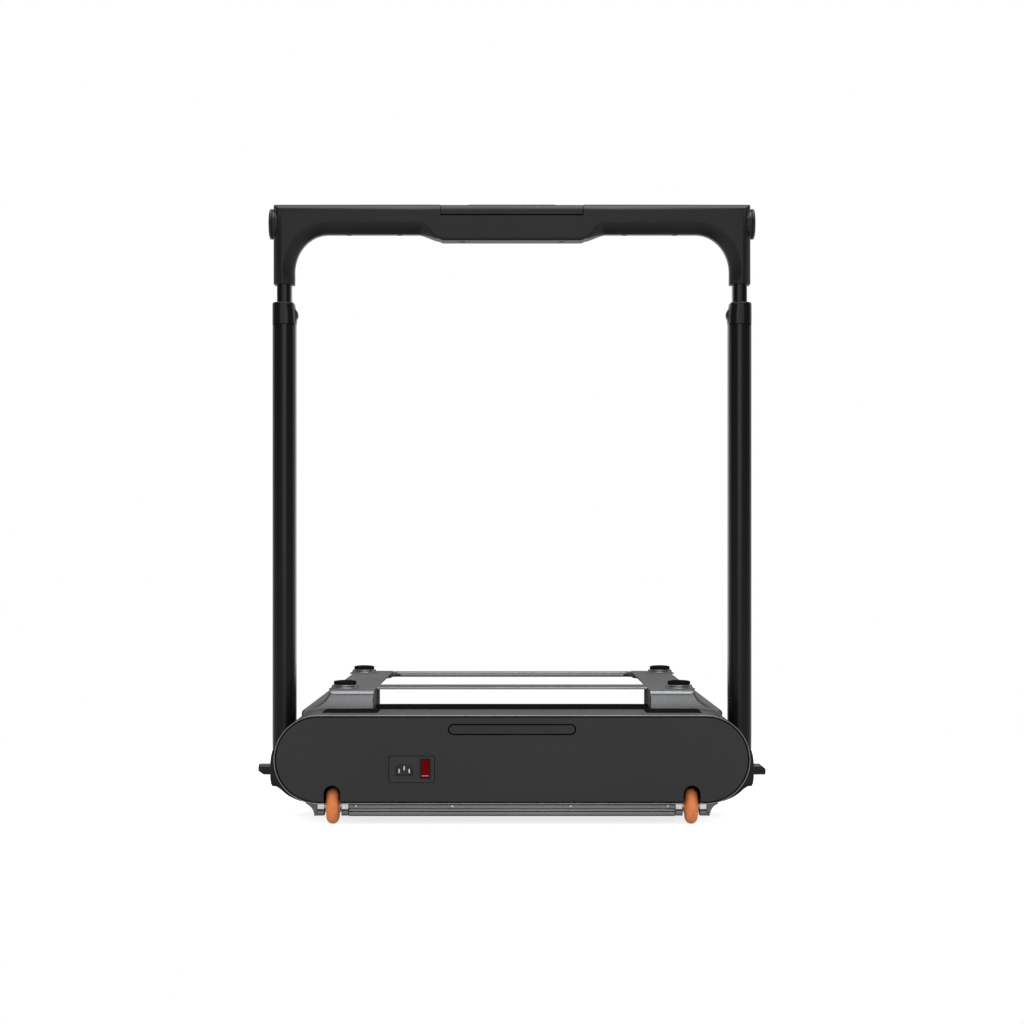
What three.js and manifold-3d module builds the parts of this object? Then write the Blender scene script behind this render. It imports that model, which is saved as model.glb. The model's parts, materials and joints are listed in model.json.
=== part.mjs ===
// Folding walking-pad treadmill, shown folded: the rear deck half lies upside down on the front half and
// the telescopic handlebar stands upright. Millimetres, +Z up, +Y from the motor end towards the fold.
import * as THREE from 'three';
import { mergeVertices } from 'three/addons/utils/BufferGeometryUtils.js';
import Module from 'manifold-3d';

const wasm = await Module();
wasm.setup();

// ---------------------------------------------------------------- driving dimensions
const seatGap = 0.3; // between pieces that rest on each other
const runGap = 0.4; // between pieces that slide or turn on each other

// Deck halves
const deckHalfWidth = 300;
const deckBottom = 12; // underside of the frame over the floor
const foldPlane = 95; // height of the walking surface and of the fold axis
const deckTop = 93.2; // top of the side frames
const foldAxisY = 783;
const frontHalfGap = 1; // from the end housing to the full section of the front side frames
const rearHalfGap = 6; // from the end housing to the roller end of the folded rear half
const frameEndGap = 9; // from the side frames' fold end to the fold axis
const frameWall = 4;
const frameEndWall = 6;
const frameWidth = 102;
const soleInset = 39; // from the outer side to the narrow underside
const flareInset = 3;
const flareZ = 40;
const frameCorner = 5;
const ledgeReach = 10;
const ledgeThickness = 6;
const boardThickness = 13;
const boardTop = 91;
const boardEndGap = 2; // from the board and belt ends to the fold axis
const boardRollerGap = 36; // from the roller axis to the board
const knuckleRadius = 7;
const knuckleInset = 14; // from the frame's inner side to the first knuckle
const knuckleWidth = 39;
const foldPinRadius = 3;
const hingeArmDrop = 17;

// Feet
const footRadius = 16.3;
const footHeight = 6.5; // the rubber that shows
const footBossRadius = 19.2;
const footInset = 20; // from the edge of the underside
const footNearInset = 51; // from the roller end of the folded half
const footFarGap = 42; // from the fold bar
const footEdge = 1.6;

// Walking belt and rollers
const beltSideGap = 3;
const beltThickness = 2.2;
const rollerRadius = 26;
const rollerSideGap = 5;
const rollerShaftRadius = 8;
const rollerShaftReach = 4; // into the side frames
const rollerPlate = 8; // thickness of the drive roller's bearing plates
const rollerPlateFront = 24; // from the roller axis to the plates' front edge
const driveRollerInset = 31; // from the end housing's back
const rearRollerInset = 33; // from the roller end of the folded half
const rollerZ = 65;
const returnRise = 32; // how far the return run climbs from the roller to the fold

// Crossbars
const foldBarGap = 27; // from its middle to the frames' fold end
const foldBarWidth = 20;
const foldBarHeight = 11;
const foldBarFillet = 16;
const foldBarFlange = 7; // of the bar's ends along the side frames
const endPlateLength = 183;
const endPlateThickness = 5;
const frontBarFront = 22;
const frontBarBack = 50;
const frontBarGroove = 2;

// End housing
const hoodOverhang = 27; // past the deck's side
const hoodBottom = 29;
const hoodTop = 151;
const hoodDepth = 141;
const hoodWall = 3;
const hoodBackWall = 3;
const slotBottom = 33;
const slotTop = 97;
const panelInset = 3;
const panelThickness = 4;
const trimWidth = 1.5;
const trimDepth = 3;
const gripHalfLength = 88;
const gripHeight = 15.4;
const gripZ = 131.3;
const gripDepth = 2;

// Transport wheels
const wheelInset = 49; // from the frame's inner side
const wheelY = 25.4;
const wheelRadius = 24.8;
const wheelWidth = 17.6;
const axleRadius = 3;
const archHalfWidth = 11.7;
const archTop = 55.4;
const archDepth = 58;
const forkHalfWidth = 21.5;
const forkFront = 20;
const forkBack = 70;
const forkSlotBack = 54;

// Mains inlet and switch
const inletX = -137.45;
const inletZ = 76.65;
const inletWidth = 62.5;
const inletHeight = 36.3;
const inletDepth = 24;
const inletCorner = 2.5;
const socketX = -151.5;
const socketWidth = 25;
const socketHeight = 17;
const socketDepth = 15;
const pinPitch = 14; // between the two outer contacts
const pinRise = 4; // of the earth contact
const pinWidth = 2;
const pinHeight = 6;
const contactBase = 3;
const rockerX = -119;
const rockerZ = 77.6;
const rockerWidth = 13.4;
const rockerHeight = 28;
const rockerPivotDepth = 6;
const rockerProud = 0.2;
const rockerPocketDepth = 14;

// Drive
const motorLength = 146;
const motorPanelGap = 9;
const motorBeltGap = 6.5;
const motorZ = 68;
const motorEndStep = 9; // the smaller end cover, in radius
const motorEndCover = 8;
const motorCradleInset = 20;
const motorCradleSetback = 7;
const motorShaftDepth = 24;
const motorShaftRadius = 5;
const motorPulleyRadius = 11.6;
const rollerPulleyRadius = 25.5;
const pulleyGap = 7; // from the roller plate
const pulleyWidth = 10;
const drivePulleyBelt = 1.6;
const boardInset = 2; // from the side frame's inner side
const boardLength = 100;
const boardWidth = 44;
const boardBeltGap = 5.5;
const boardPlate = 6;
const boardFins = 6;
const finInset = 30;
const finEndInset = 4;
const finThickness = 3;
const finTop = 19;

// Post pivots
const pivotInset = 28; // from the end housing's back
const pivotZ = 67;
const bracketWall = 3.6;
const bracketTop = 94;
const bracketOverlap = 4; // behind the post
const bracketFoot = 8; // over the frame's underside
const bracketFlareReach = 18;
const bracketFlareRise = 16;
const bracketWaist = 36;
const bracketChamfer = 8;
const leverSpindleRadius = 6;
const leverReach = 16.5;
const leverHeight = 15.4;
const leverLength = 46;
const leverChamfer = 7.5; // of the grip's lower outer edge

// Posts, handlebar
const postSideGap = 9.4; // from the deck's side
const postWidth = 33;
const postDepth = 48;
const postCorner = 13;
const collarHeight = 32;
const tubeShowing = 25; // between the collar and the sleeve
const tubeWidth = 20.5;
const tubeDepth = 34;
const tubeCorner = 8;
const tubeInPost = 232;
const postWall = 3;
const postBoreFloor = 105;
const tubeWall = 2;
const lockButtonDrop = 18; // under the collar's top
const lockButtonHeight = 16;
const lockButtonWidth = 14;
const lockButtonProud = 3;
const lockButtonDepth = 4.8;
const handleTop = 870.5;
const armHeight = 41.5;
const sleeveDrop = 113.5; // from the top to the sleeve's end
const sleeveWidth = 29.6;
const sleeveBoreRoof = 30.5;
const cornerReach = 48;
const cornerDrop = 54;
const consoleHeight = 51.5;
const consoleHalfWidth = 102;
const consoleSlope = 31;
const handleRound = 8;
const hubRadius = 21.5;
const hubDrop = 27.5;
const hubProud = 1.8;
const capThickness = 5;
const coverThickness = 13.5;
const keyWidth = 18;
const keyDepth = 11;
const keyHeight = 6;
const keyProud = 0.8;
const keyPocket = 8;
const keyPitch = 34;
const keyOffset = 7; // from the bar's middle towards the walker

const arcSteps = 3;
const roundSteps = 20;
const beltSteps = 16;

// ---------------------------------------------------------------- places worked out from them
const overallLength = foldAxisY + knuckleRadius;
const frontHalfStart = hoodDepth + frontHalfGap;
const rearHalfStart = hoodDepth + rearHalfGap;
const driveRollerY = hoodDepth - driveRollerInset;
const rearRollerY = rearHalfStart + rearRollerInset;
const footNearY = rearHalfStart + footNearInset;
const beltFront = driveRollerY - rollerRadius - seatGap - beltThickness;
const motorRadius = (beltFront - motorBeltGap - panelThickness - motorPanelGap) / 2;
const motorY = panelThickness + motorPanelGap + motorRadius;
const pivotY = hoodDepth + pivotInset;
const bracketBack = pivotY + postDepth / 2 + bracketOverlap;
const frameEndY = foldAxisY - frameEndGap;
const frameInnerX = deckHalfWidth - frameWidth;
const frameSoleX = deckHalfWidth - soleInset;
const flareX = deckHalfWidth - flareInset;
const knuckleInnerX = frameInnerX + knuckleInset;
const knuckleSplitX = knuckleInnerX + knuckleWidth;
const knuckleOuterX = knuckleSplitX + knuckleWidth;
const foldBarY = frameEndY - foldBarGap;
const footX = frameSoleX - footInset;
const footFarY = foldBarY - footFarGap;
const beltHalfWidth = frameInnerX - beltSideGap;
const rollerHalfLength = frameInnerX - rollerSideGap;
const hoodHalfWidth = deckHalfWidth + hoodOverhang;
const wheelX = frameInnerX + wheelInset;
const motorX1 = frameInnerX + rollerPlate;
const motorX0 = motorX1 - motorLength;
const boardX0 = boardInset - frameInnerX;
const boardX1 = boardX0 + boardLength;
const boardY1 = beltFront - boardBeltGap;
const boardY0 = boardY1 - boardWidth;
const pulleyX0 = motorX1 + pulleyGap;
const pulleyX1 = pulleyX0 + pulleyWidth;
const postX = deckHalfWidth + postSideGap + postWidth / 2;
const bracketOuterX = postX + postWidth / 2 + runGap + bracketWall;
const armBottom = handleTop - armHeight;
const sleeveBottom = handleTop - sleeveDrop;
const sleeveBoreTop = handleTop - sleeveBoreRoof;
const consoleBottom = handleTop - consoleHeight;
const coverBottom = handleTop - coverThickness;
const coverHalfWidth = consoleHalfWidth - seatGap;
const hubZ = handleTop - hubDrop;
const collarTop = sleeveBottom - tubeShowing;
const collarBottom = collarTop - collarHeight;
const lockButtonZ = collarTop - lockButtonDrop;
const tubeBottom = collarBottom - tubeInPost;
const keyY = pivotY + keyOffset;

// ---------------------------------------------------------------- geometry helpers
const yzToX = new THREE.Matrix4().makeBasis(
  new THREE.Vector3(0, 1, 0), new THREE.Vector3(0, 0, 1), new THREE.Vector3(1, 0, 0));
const latheToX = new THREE.Matrix4().makeBasis(
  new THREE.Vector3(0, 1, 0), new THREE.Vector3(1, 0, 0), new THREE.Vector3(0, 0, -1));

function toSolid(geometry) {
  const bare = geometry.clone();
  bare.deleteAttribute('normal');
  bare.deleteAttribute('uv');
  const merged = mergeVertices(bare, 1e-4);
  return new wasm.Manifold(new wasm.Mesh({
    numProp: 3,
    vertProperties: new Float32Array(merged.attributes.position.array),
    triVerts: new Uint32Array(merged.index.array),
  }));
}

function toGeometry(solid) {
  const mesh = solid.getMesh();
  const geometry = new THREE.BufferGeometry();
  geometry.setAttribute('position', new THREE.BufferAttribute(new Float32Array(mesh.vertProperties), 3));
  geometry.setIndex(new THREE.BufferAttribute(new Uint32Array(mesh.triVerts), 1));
  geometry.computeVertexNormals();
  return geometry;
}

function extrude(shape, depth, curveSegments = arcSteps) {
  return new THREE.ExtrudeGeometry(shape, { depth, bevelEnabled: false, curveSegments });
}

// A shape drawn in (x, y), between two heights.
const alongZ = (shape, z0, z1) => toSolid(extrude(shape, z1 - z0).translate(0, 0, z0));
// A shape drawn in (x, z), between two depths.
const alongY = (shape, y0, y1) => toSolid(extrude(shape, y1 - y0).rotateX(Math.PI / 2).translate(0, y1, 0));
// A shape drawn in (y, z), between two widths.
const alongX = (shape, x0, x1, curveSegments) =>
  toSolid(extrude(shape, x1 - x0, curveSegments).applyMatrix4(yzToX).translate(x0, 0, 0));

function box(x0, x1, y0, y1, z0, z1) {
  const geometry = new THREE.BoxGeometry(x1 - x0, y1 - y0, z1 - z0);
  return toSolid(geometry.translate((x0 + x1) / 2, (y0 + y1) / 2, (z0 + z1) / 2));
}

// A turned piece about X: pairs of (radius, x), closed on the axis.
function turnedX(profile, y, z, steps = roundSteps) {
  const points = profile.map(([radius, x]) => new THREE.Vector2(radius, x));
  return toSolid(new THREE.LatheGeometry(points, steps).applyMatrix4(latheToX).translate(0, y, z));
}

const rodX = (radius, x0, x1, y, z, steps = roundSteps) =>
  turnedX([[0, x0], [radius, x0], [radius, x1], [0, x1]], y, z, steps);

// A turned piece about Z: pairs of (radius, z).
function turnedZ(profile, x, y, steps = roundSteps) {
  const points = profile.map(([radius, z]) => new THREE.Vector2(radius, z));
  return toSolid(new THREE.LatheGeometry(points, steps).rotateX(Math.PI / 2).translate(x, y, 0));
}

function roundedRect(cx, cy, width, height, radius) {
  const shape = new THREE.Shape();
  const [x0, x1, y0, y1] = [cx - width / 2, cx + width / 2, cy - height / 2, cy + height / 2];
  shape.moveTo(x0 + radius, y0);
  shape.lineTo(x1 - radius, y0);
  shape.absarc(x1 - radius, y0 + radius, radius, -Math.PI / 2, 0);
  shape.lineTo(x1, y1 - radius);
  shape.absarc(x1 - radius, y1 - radius, radius, 0, Math.PI / 2);
  shape.lineTo(x0 + radius, y1);
  shape.absarc(x0 + radius, y1 - radius, radius, Math.PI / 2, Math.PI);
  shape.lineTo(x0, y0 + radius);
  shape.absarc(x0 + radius, y0 + radius, radius, Math.PI, 1.5 * Math.PI);
  return shape;
}

function polygon(points) {
  return new THREE.Shape(points.map(([x, y]) => new THREE.Vector2(x, y)));
}

// The end housing's outline, drawn in (x, z) and set in by a distance.
function stadium(inset) {
  const shape = new THREE.Shape();
  const radius = (hoodTop - hoodBottom) / 2 - inset;
  const middle = (hoodTop + hoodBottom) / 2;
  const straight = hoodHalfWidth - (hoodTop - hoodBottom) / 2;
  shape.absarc(straight, middle, radius, -Math.PI / 2, Math.PI / 2);
  shape.absarc(-straight, middle, radius, Math.PI / 2, 1.5 * Math.PI);
  return shape;
}

function stadiumPrism(inset, y0, y1) {
  const geometry = extrude(stadium(inset), y1 - y0, 4 * arcSteps);
  return toSolid(geometry.rotateX(Math.PI / 2).translate(0, y1, 0));
}

function mirrored(geometry, axis) {
  const scale = { x: [-1, 1, 1], z: [1, 1, -1] }[axis];
  const copy = geometry.clone().scale(...scale);
  const index = copy.index.array;
  for (let i = 0; i < index.length; i += 3) [index[i], index[i + 1]] = [index[i + 1], index[i]];
  copy.computeVertexNormals();
  return copy;
}

// ---------------------------------------------------------------- materials
const finish = (color, roughness, metalness) => ({ color, roughness, metalness });
const castSilver = finish(0x8b8c8e, 0.35, 0.9);
const polished = finish(0xd8d9dc, 0.12, 1);
const satinBlack = finish(0x1c1c1d, 0.45, 0.1);
const panelGrey = finish(0x363636, 0.6, 0);
const shellGrey = finish(0x2f3031, 0.35, 0.1);
const rubberBlack = finish(0x141414, 0.85, 0);
const beltBlack = finish(0x101011, 0.8, 0);
const boardBrown = finish(0x2b2521, 0.7, 0);
const steel = finish(0xb5b7ba, 0.3, 1);
const orange = finish(0xe0823e, 0.45, 0);
const red = finish(0x8c0a12, 0.3, 0);
const darkPlastic = finish(0x1b1b1c, 0.5, 0);
const glossBlack = finish(0x08090a, 0.08, 0);
const boardGreen = finish(0x1f5136, 0.6, 0);

const treadmill = new THREE.Group();
treadmill.position.set(0, -overallLength / 2, 0);
const baseGroup = new THREE.Group();
const rearGroup = new THREE.Group();
const uprightGroup = new THREE.Group();
const handleGroup = new THREE.Group();
treadmill.add(baseGroup, rearGroup, uprightGroup, handleGroup);

function add(group, name, shape, look, position = [0, 0, 0]) {
  const geometry = shape.isBufferGeometry ? shape : toGeometry(shape);
  const mesh = new THREE.Mesh(geometry, new THREE.MeshStandardMaterial(look));
  mesh.name = name;
  mesh.position.set(...position);
  group.add(mesh);
  return mesh;
}

// One piece on the +X side and its mirror image on the other.
function addPair(group, name, solid, look) {
  const right = toGeometry(solid);
  add(group, `${name}_right`, right, look);
  add(group, `${name}_left`, mirrored(right, 'x'), look);
}

// ---------------------------------------------------------------- side frames
function frameSection() {
  const shape = new THREE.Shape();
  shape.moveTo(frameInnerX, deckBottom);
  shape.lineTo(frameSoleX - frameCorner, deckBottom);
  shape.absarc(frameSoleX - frameCorner, deckBottom + frameCorner, frameCorner, -Math.PI / 2, 0);
  shape.quadraticCurveTo(frameSoleX + 6, flareZ - 7, flareX, flareZ);
  shape.lineTo(deckHalfWidth, flareZ + 6);
  shape.lineTo(deckHalfWidth, deckTop - frameCorner);
  shape.absarc(deckHalfWidth - frameCorner, deckTop - frameCorner, frameCorner, 0, Math.PI / 2);
  shape.lineTo(frameInnerX, deckTop);
  shape.lineTo(frameInnerX, ledgeTop);
  shape.lineTo(frameInnerX - ledgeReach, ledgeTop);
  shape.lineTo(frameInnerX - ledgeReach, ledgeTop - ledgeThickness);
  shape.lineTo(frameInnerX, ledgeTop - ledgeThickness);
  return shape;
}

function frameHollow() {
  const shape = new THREE.Shape();
  const inner = frameInnerX + frameWall;
  shape.moveTo(inner, deckBottom + frameWall);
  shape.lineTo(frameSoleX - frameCorner, deckBottom + frameWall);
  shape.quadraticCurveTo(frameSoleX, flareZ, flareX - frameWall, flareZ + frameWall);
  shape.lineTo(deckHalfWidth - frameWall, flareZ + frameWall + 6);
  shape.lineTo(deckHalfWidth - frameWall, deckTop - frameWall);
  shape.lineTo(inner, deckTop - frameWall);
  return shape;
}

const ledgeTop = boardTop - boardThickness - seatGap;

function hingeArm(x0, x1) {
  const shape = new THREE.Shape();
  shape.moveTo(frameEndY - frameEndWall, deckTop);
  shape.lineTo(frameEndY - frameEndWall, foldPlane - hingeArmDrop);
  shape.lineTo(frameEndY, foldPlane - hingeArmDrop);
  shape.lineTo(foldAxisY + knuckleRadius * 0.8, foldPlane - knuckleRadius * 0.6);
  shape.lineTo(foldAxisY, foldPlane);
  shape.lineTo(frameEndY, deckTop);
  return alongX(shape, x0, x1)
    .add(rodX(knuckleRadius, x0, x1, foldAxisY, foldPlane))
    .subtract(rodX(foldPinRadius + runGap, x0 - 1, x1 + 1, foldAxisY, foldPlane));
}

// The right side frame of one deck half, the right way up. startY is its roller end.
function sideFrame(startY, rollerY, knuckleX0, knuckleX1) {
  let frame = alongY(frameSection(), startY, frameEndY)
    .subtract(alongY(frameHollow(), startY + frameEndWall, frameEndY - frameEndWall));
  // The hollow's opening in the fold end.
  frame = frame.subtract(box(frameInnerX + 12, flareX - 12, frameEndY - 10, frameEndY + 1,
    flareZ + frameWall, foldPlane - hingeArmDrop - 6));
  frame = frame.add(hingeArm(knuckleX0, knuckleX1));
  for (const y of [footNearY, footFarY]) {
    frame = frame.add(turnedZ([[0, footHeight], [footBossRadius - 1, footHeight],
      [footBossRadius, footHeight + 1], [footBossRadius, deckBottom + 1], [0, deckBottom + 1]], footX, y));
  }
  if (rollerY > startY) {
    frame = frame.subtract(rodX(rollerShaftRadius + runGap, frameInnerX - 1, frameInnerX + frameWall + 1,
      rollerY, rollerZ));
    frame = frame.subtract(box(frameInnerX - ledgeReach - 1, frameInnerX, startY - 1,
      rollerY + boardRollerGap, ledgeTop - ledgeThickness - 1, ledgeTop + 1));
  }
  return frame;
}

// Under the end housing the front frame goes on as a low tongue, and inside it as a roller plate.
const tongueTop = hoodBottom - seatGap;
const frontTongueInset = 12;
const frontTongueFlare = 12.4;
function frontFrame() {
  const forkOuter = wheelX + forkHalfWidth + seatGap;
  const tongueOuter = flareX - frontTongueInset;
  const tongue = polygon([
    [frameInnerX, frontHalfStart + 1], [frameInnerX, forkBack + seatGap], [forkOuter, forkBack + seatGap],
    [forkOuter, forkFront], [tongueOuter, forkFront], [tongueOuter, frontHalfStart + 1],
  ]);
  const flare = new THREE.Shape();
  flare.moveTo(frameInnerX, deckBottom);
  flare.lineTo(tongueOuter - frontTongueFlare, deckBottom);
  flare.quadraticCurveTo(tongueOuter - frontTongueFlare + 1, tongueTop - 4, tongueOuter, tongueTop);
  flare.lineTo(frameInnerX, tongueTop);
  const plate = box(frameInnerX, frameInnerX + rollerPlate, driveRollerY - rollerPlateFront, frontHalfStart + 1,
    slotBottom, foldPlane - 6);
  return sideFrame(frontHalfStart, driveRollerY, knuckleInnerX, knuckleSplitX - runGap / 2)
    .add(alongZ(tongue, deckBottom, tongueTop).intersect(alongY(flare, forkFront - 1, frontHalfStart + 2)))
    .add(plate)
    .subtract(rodX(rollerShaftRadius + runGap, frameInnerX - 1, frameInnerX + rollerPlate + 1,
      driveRollerY, rollerZ));
}

addPair(baseGroup, 'front_frame', frontFrame(), castSilver);

// ---------------------------------------------------------------- parts of a deck half
// Everything here is drawn the right way up and turned over for the rear half.
const overFold = (geometry) => mirrored(geometry, 'z').translate(0, 0, 2 * foldPlane);

const boardHalfWidth = frameInnerX - seatGap;
const boardEndY = foldAxisY - boardEndGap;

function deckBoard(rollerY) {
  const board = box(-boardHalfWidth, boardHalfWidth, rollerY + boardRollerGap, boardEndY,
    boardTop - boardThickness, boardTop);
  return board;
}

// The belt goes round the roller and along both sides of the board, as one band open at the fold.
function walkingBelt(rollerY) {
  const inner = rollerRadius + seatGap;
  const outer = inner + beltThickness;
  const innerTop = Math.max(rollerZ + inner, boardTop + seatGap);
  const returnEnd = rollerZ - inner + returnRise;
  const slope = Math.atan2(returnRise, boardEndY - rollerY);
  const points = [[boardEndY, innerTop + beltThickness]];
  const angleAt = (i) => Math.PI / 2 + ((Math.PI + slope) * i) / beltSteps;
  for (let i = 0; i <= beltSteps; i += 1) {
    points.push([rollerY + outer * Math.cos(angleAt(i)), rollerZ + outer * Math.sin(angleAt(i))]);
  }
  points.push([boardEndY, returnEnd - beltThickness]);
  points.push([boardEndY, returnEnd]);
  for (let i = beltSteps; i >= 0; i -= 1) {
    points.push([rollerY + inner * Math.cos(angleAt(i)), rollerZ + inner * Math.sin(angleAt(i))]);
  }
  points.push([boardEndY, innerTop]);
  return alongX(polygon(points), -beltHalfWidth, beltHalfWidth);
}

function foot() {
  return new THREE.LatheGeometry([
    [0, 0], [footRadius - footEdge, 0], [footRadius, footEdge], [footRadius, footHeight - seatGap],
    [0, footHeight - seatGap],
  ].map(([r, z]) => new THREE.Vector2(r, z)), roundSteps).rotateX(Math.PI / 2);
}

// A crossbar with its ends spread into the side frames by fillets.
function foldBar() {
  const half = boardHalfWidth;
  const shape = new THREE.Shape();
  const [y0, y1] = [foldBarY - foldBarWidth / 2, foldBarY + foldBarWidth / 2];
  const arcX = half - foldBarFlange - foldBarFillet;
  shape.moveTo(half, y1);
  shape.lineTo(-half, y1);
  shape.lineTo(-half, y0 - foldBarFillet);
  shape.lineTo(-half + foldBarFlange, y0 - foldBarFillet);
  shape.absarc(-arcX, y0 - foldBarFillet, foldBarFillet, Math.PI, Math.PI / 2, true);
  shape.lineTo(arcX, y0);
  shape.absarc(arcX, y0 - foldBarFillet, foldBarFillet, Math.PI / 2, 0, true);
  shape.lineTo(half, y0 - foldBarFillet);
  const rounding = 3;
  const geometry = new THREE.ExtrudeGeometry(shape, {
    depth: foldBarHeight - 2 * rounding, bevelEnabled: true, bevelThickness: rounding,
    bevelSize: rounding, bevelOffset: -rounding, bevelSegments: 2, curveSegments: arcSteps,
  });
  return toSolid(geometry.translate(0, 0, deckBottom + rounding));
}

// ---------------------------------------------------------------- front half
add(baseGroup, 'front_deck_board', deckBoard(driveRollerY), boardBrown);
add(baseGroup, 'front_belt', walkingBelt(driveRollerY), beltBlack);
add(baseGroup, 'front_fold_bar', foldBar(), castSilver);
for (const [sideName, side] of [['left', -1], ['right', 1]]) {
  for (const [endName, y] of [['near', footNearY], ['far', footFarY]]) {
    add(baseGroup, `front_foot_${endName}_${sideName}`, mergeVertices(foot()), rubberBlack,
      [side * footX, y, 0]);
  }
}
addPair(baseGroup, 'fold_pin', rodX(foldPinRadius, knuckleInnerX - 2, knuckleOuterX + 2,
  foldAxisY, foldPlane), steel);

function driveRoller() {
  const end = frameInnerX + rollerPlate;
  const profile = [
    [0, -end + 2], [rollerShaftRadius, -end + 2], [rollerShaftRadius, -rollerHalfLength],
    [rollerRadius, -rollerHalfLength], [rollerRadius, rollerHalfLength],
    [rollerShaftRadius, rollerHalfLength], [rollerShaftRadius, pulleyX0 - 1],
    [rollerPulleyRadius + drivePulleyBelt, pulleyX0 - 1], [rollerPulleyRadius + drivePulleyBelt, pulleyX0],
    [rollerPulleyRadius, pulleyX0], [rollerPulleyRadius, pulleyX1],
    [rollerPulleyRadius + drivePulleyBelt, pulleyX1], [rollerPulleyRadius + drivePulleyBelt, pulleyX1 + 1],
    [0, pulleyX1 + 1],
  ];
  return turnedX(profile, driveRollerY, rollerZ);
}
add(baseGroup, 'drive_roller', driveRoller(), steel);

function motor() {
  const can = rodX(motorRadius, motorX0, motorX1, motorY, motorZ)
    .add(rodX(motorRadius - motorEndStep, motorX0 - motorEndCover, motorX1, motorY, motorZ));
  const cradle = box(motorX0 + motorCradleInset, motorX1 - motorCradleInset,
    motorY - motorRadius + motorCradleSetback, motorY + motorRadius - motorCradleSetback,
    hoodBottom + hoodWall + seatGap, motorZ);
  const bore = rodX(motorShaftRadius + runGap, motorX1 - motorShaftDepth, motorX1 + 1,
    motorY, motorZ);
  return can.add(cradle).subtract(bore);
}
add(baseGroup, 'motor', motor(), darkPlastic);

const motorPulleyProfile = [
  [0, motorX1 - motorShaftDepth + 1], [motorShaftRadius, motorX1 - motorShaftDepth + 1],
  [motorShaftRadius, pulleyX0 - 1],
  [motorPulleyRadius + drivePulleyBelt, pulleyX0 - 1], [motorPulleyRadius + drivePulleyBelt, pulleyX0],
  [motorPulleyRadius, pulleyX0], [motorPulleyRadius, pulleyX1],
  [motorPulleyRadius + drivePulleyBelt, pulleyX1], [motorPulleyRadius + drivePulleyBelt, pulleyX1 + 1],
  [0, pulleyX1 + 1],
];
add(baseGroup, 'motor_pulley', turnedX(motorPulleyProfile, motorY, motorZ), steel);

// The drive belt's outline round both pulleys, in (y, z), at a distance outside them.
function beltLoop(offset) {
  const small = motorPulleyRadius + offset;
  const large = rollerPulleyRadius + offset;
  const [dy, dz] = [driveRollerY - motorY, rollerZ - motorZ];
  const along = Math.atan2(dz, dy);
  const lean = Math.acos((large - small) / Math.hypot(dy, dz));
  const shape = new THREE.Shape();
  shape.absarc(driveRollerY, rollerZ, large, along - Math.PI + lean, along + Math.PI - lean);
  shape.absarc(motorY, motorZ, small, along + Math.PI - lean, along + Math.PI + lean);
  return shape;
}
const loopSteps = 2 * arcSteps;
const driveBelt = alongX(beltLoop(drivePulleyBelt), pulleyX0 + runGap, pulleyX1 - runGap, loopSteps)
  .subtract(alongX(beltLoop(seatGap), pulleyX0 - 1, pulleyX1 + 1, loopSteps));
add(baseGroup, 'drive_belt', driveBelt, rubberBlack);

function controlBoard() {
  const floor = hoodBottom + hoodWall + seatGap;
  let board = box(boardX0, boardX1, boardY0, boardY1, floor, floor + boardPlate);
  const pitch = (boardY1 - boardY0) / boardFins;
  for (let i = 0; i < boardFins; i += 1) {
    const y = boardY0 + pitch * (i + 0.5);
    board = board.add(box(boardX0 + finInset, boardX1 - finEndInset,
      y - finThickness / 2, y + finThickness / 2, floor + boardPlate - 1, floor + finTop));
  }
  return board;
}
add(baseGroup, 'control_board', controlBoard(), boardGreen);

// ---------------------------------------------------------------- end housing
function archCut(clearance) {
  const shape = new THREE.Shape();
  const half = archHalfWidth + clearance;
  shape.moveTo(wheelX - half, 0);
  shape.lineTo(wheelX + half, 0);
  shape.absarc(wheelX, archTop - archHalfWidth, half, 0, Math.PI);
  return shape;
}
const bothArches = (solid, clearance, y0, y1) => {
  const right = toGeometry(alongY(archCut(clearance), y0, y1));
  return solid.subtract(toSolid(right)).subtract(toSolid(mirrored(right, 'x')));
};

function hoodShell() {
  let shell = stadiumPrism(0, trimDepth + seatGap, hoodDepth)
    .subtract(stadiumPrism(hoodWall, 0, hoodDepth - hoodBackWall));
  shell = shell.subtract(box(-frameInnerX - rollerPlate - 1, frameInnerX + rollerPlate + 1,
    hoodDepth - hoodBackWall - 1, hoodDepth + 1, slotBottom - 0.5, slotTop));
  return bothArches(shell, 0, -1, archDepth);
}
add(baseGroup, 'hood_shell', hoodShell(), shellGrey);

function frontPanel() {
  let panel = stadiumPrism(panelInset + seatGap, 0, panelThickness);
  panel = panel.subtract(alongY(roundedRect(0, gripZ, 2 * gripHalfLength, gripHeight,
    gripHeight / 2 - 0.01), -1, gripDepth));
  panel = panel.subtract(alongY(roundedRect(inletX, inletZ, inletWidth + 2 * seatGap,
    inletHeight + 2 * seatGap, inletCorner), -1, panelThickness + 1));
  return bothArches(panel, 0, -1, panelThickness + 1);
}
add(baseGroup, 'front_panel', frontPanel(), panelGrey);

function frontTrim() {
  const ring = stadiumPrism(0, 0, trimDepth).subtract(stadiumPrism(trimWidth, -1, trimDepth + 1));
  const middle = box(-wheelX, wheelX, -1, trimDepth + 1, 0, hoodBottom + 10);
  return bothArches(ring.subtract(middle), 0, -1, trimDepth + 1);
}
add(baseGroup, 'front_trim', frontTrim(), polished);

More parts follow.
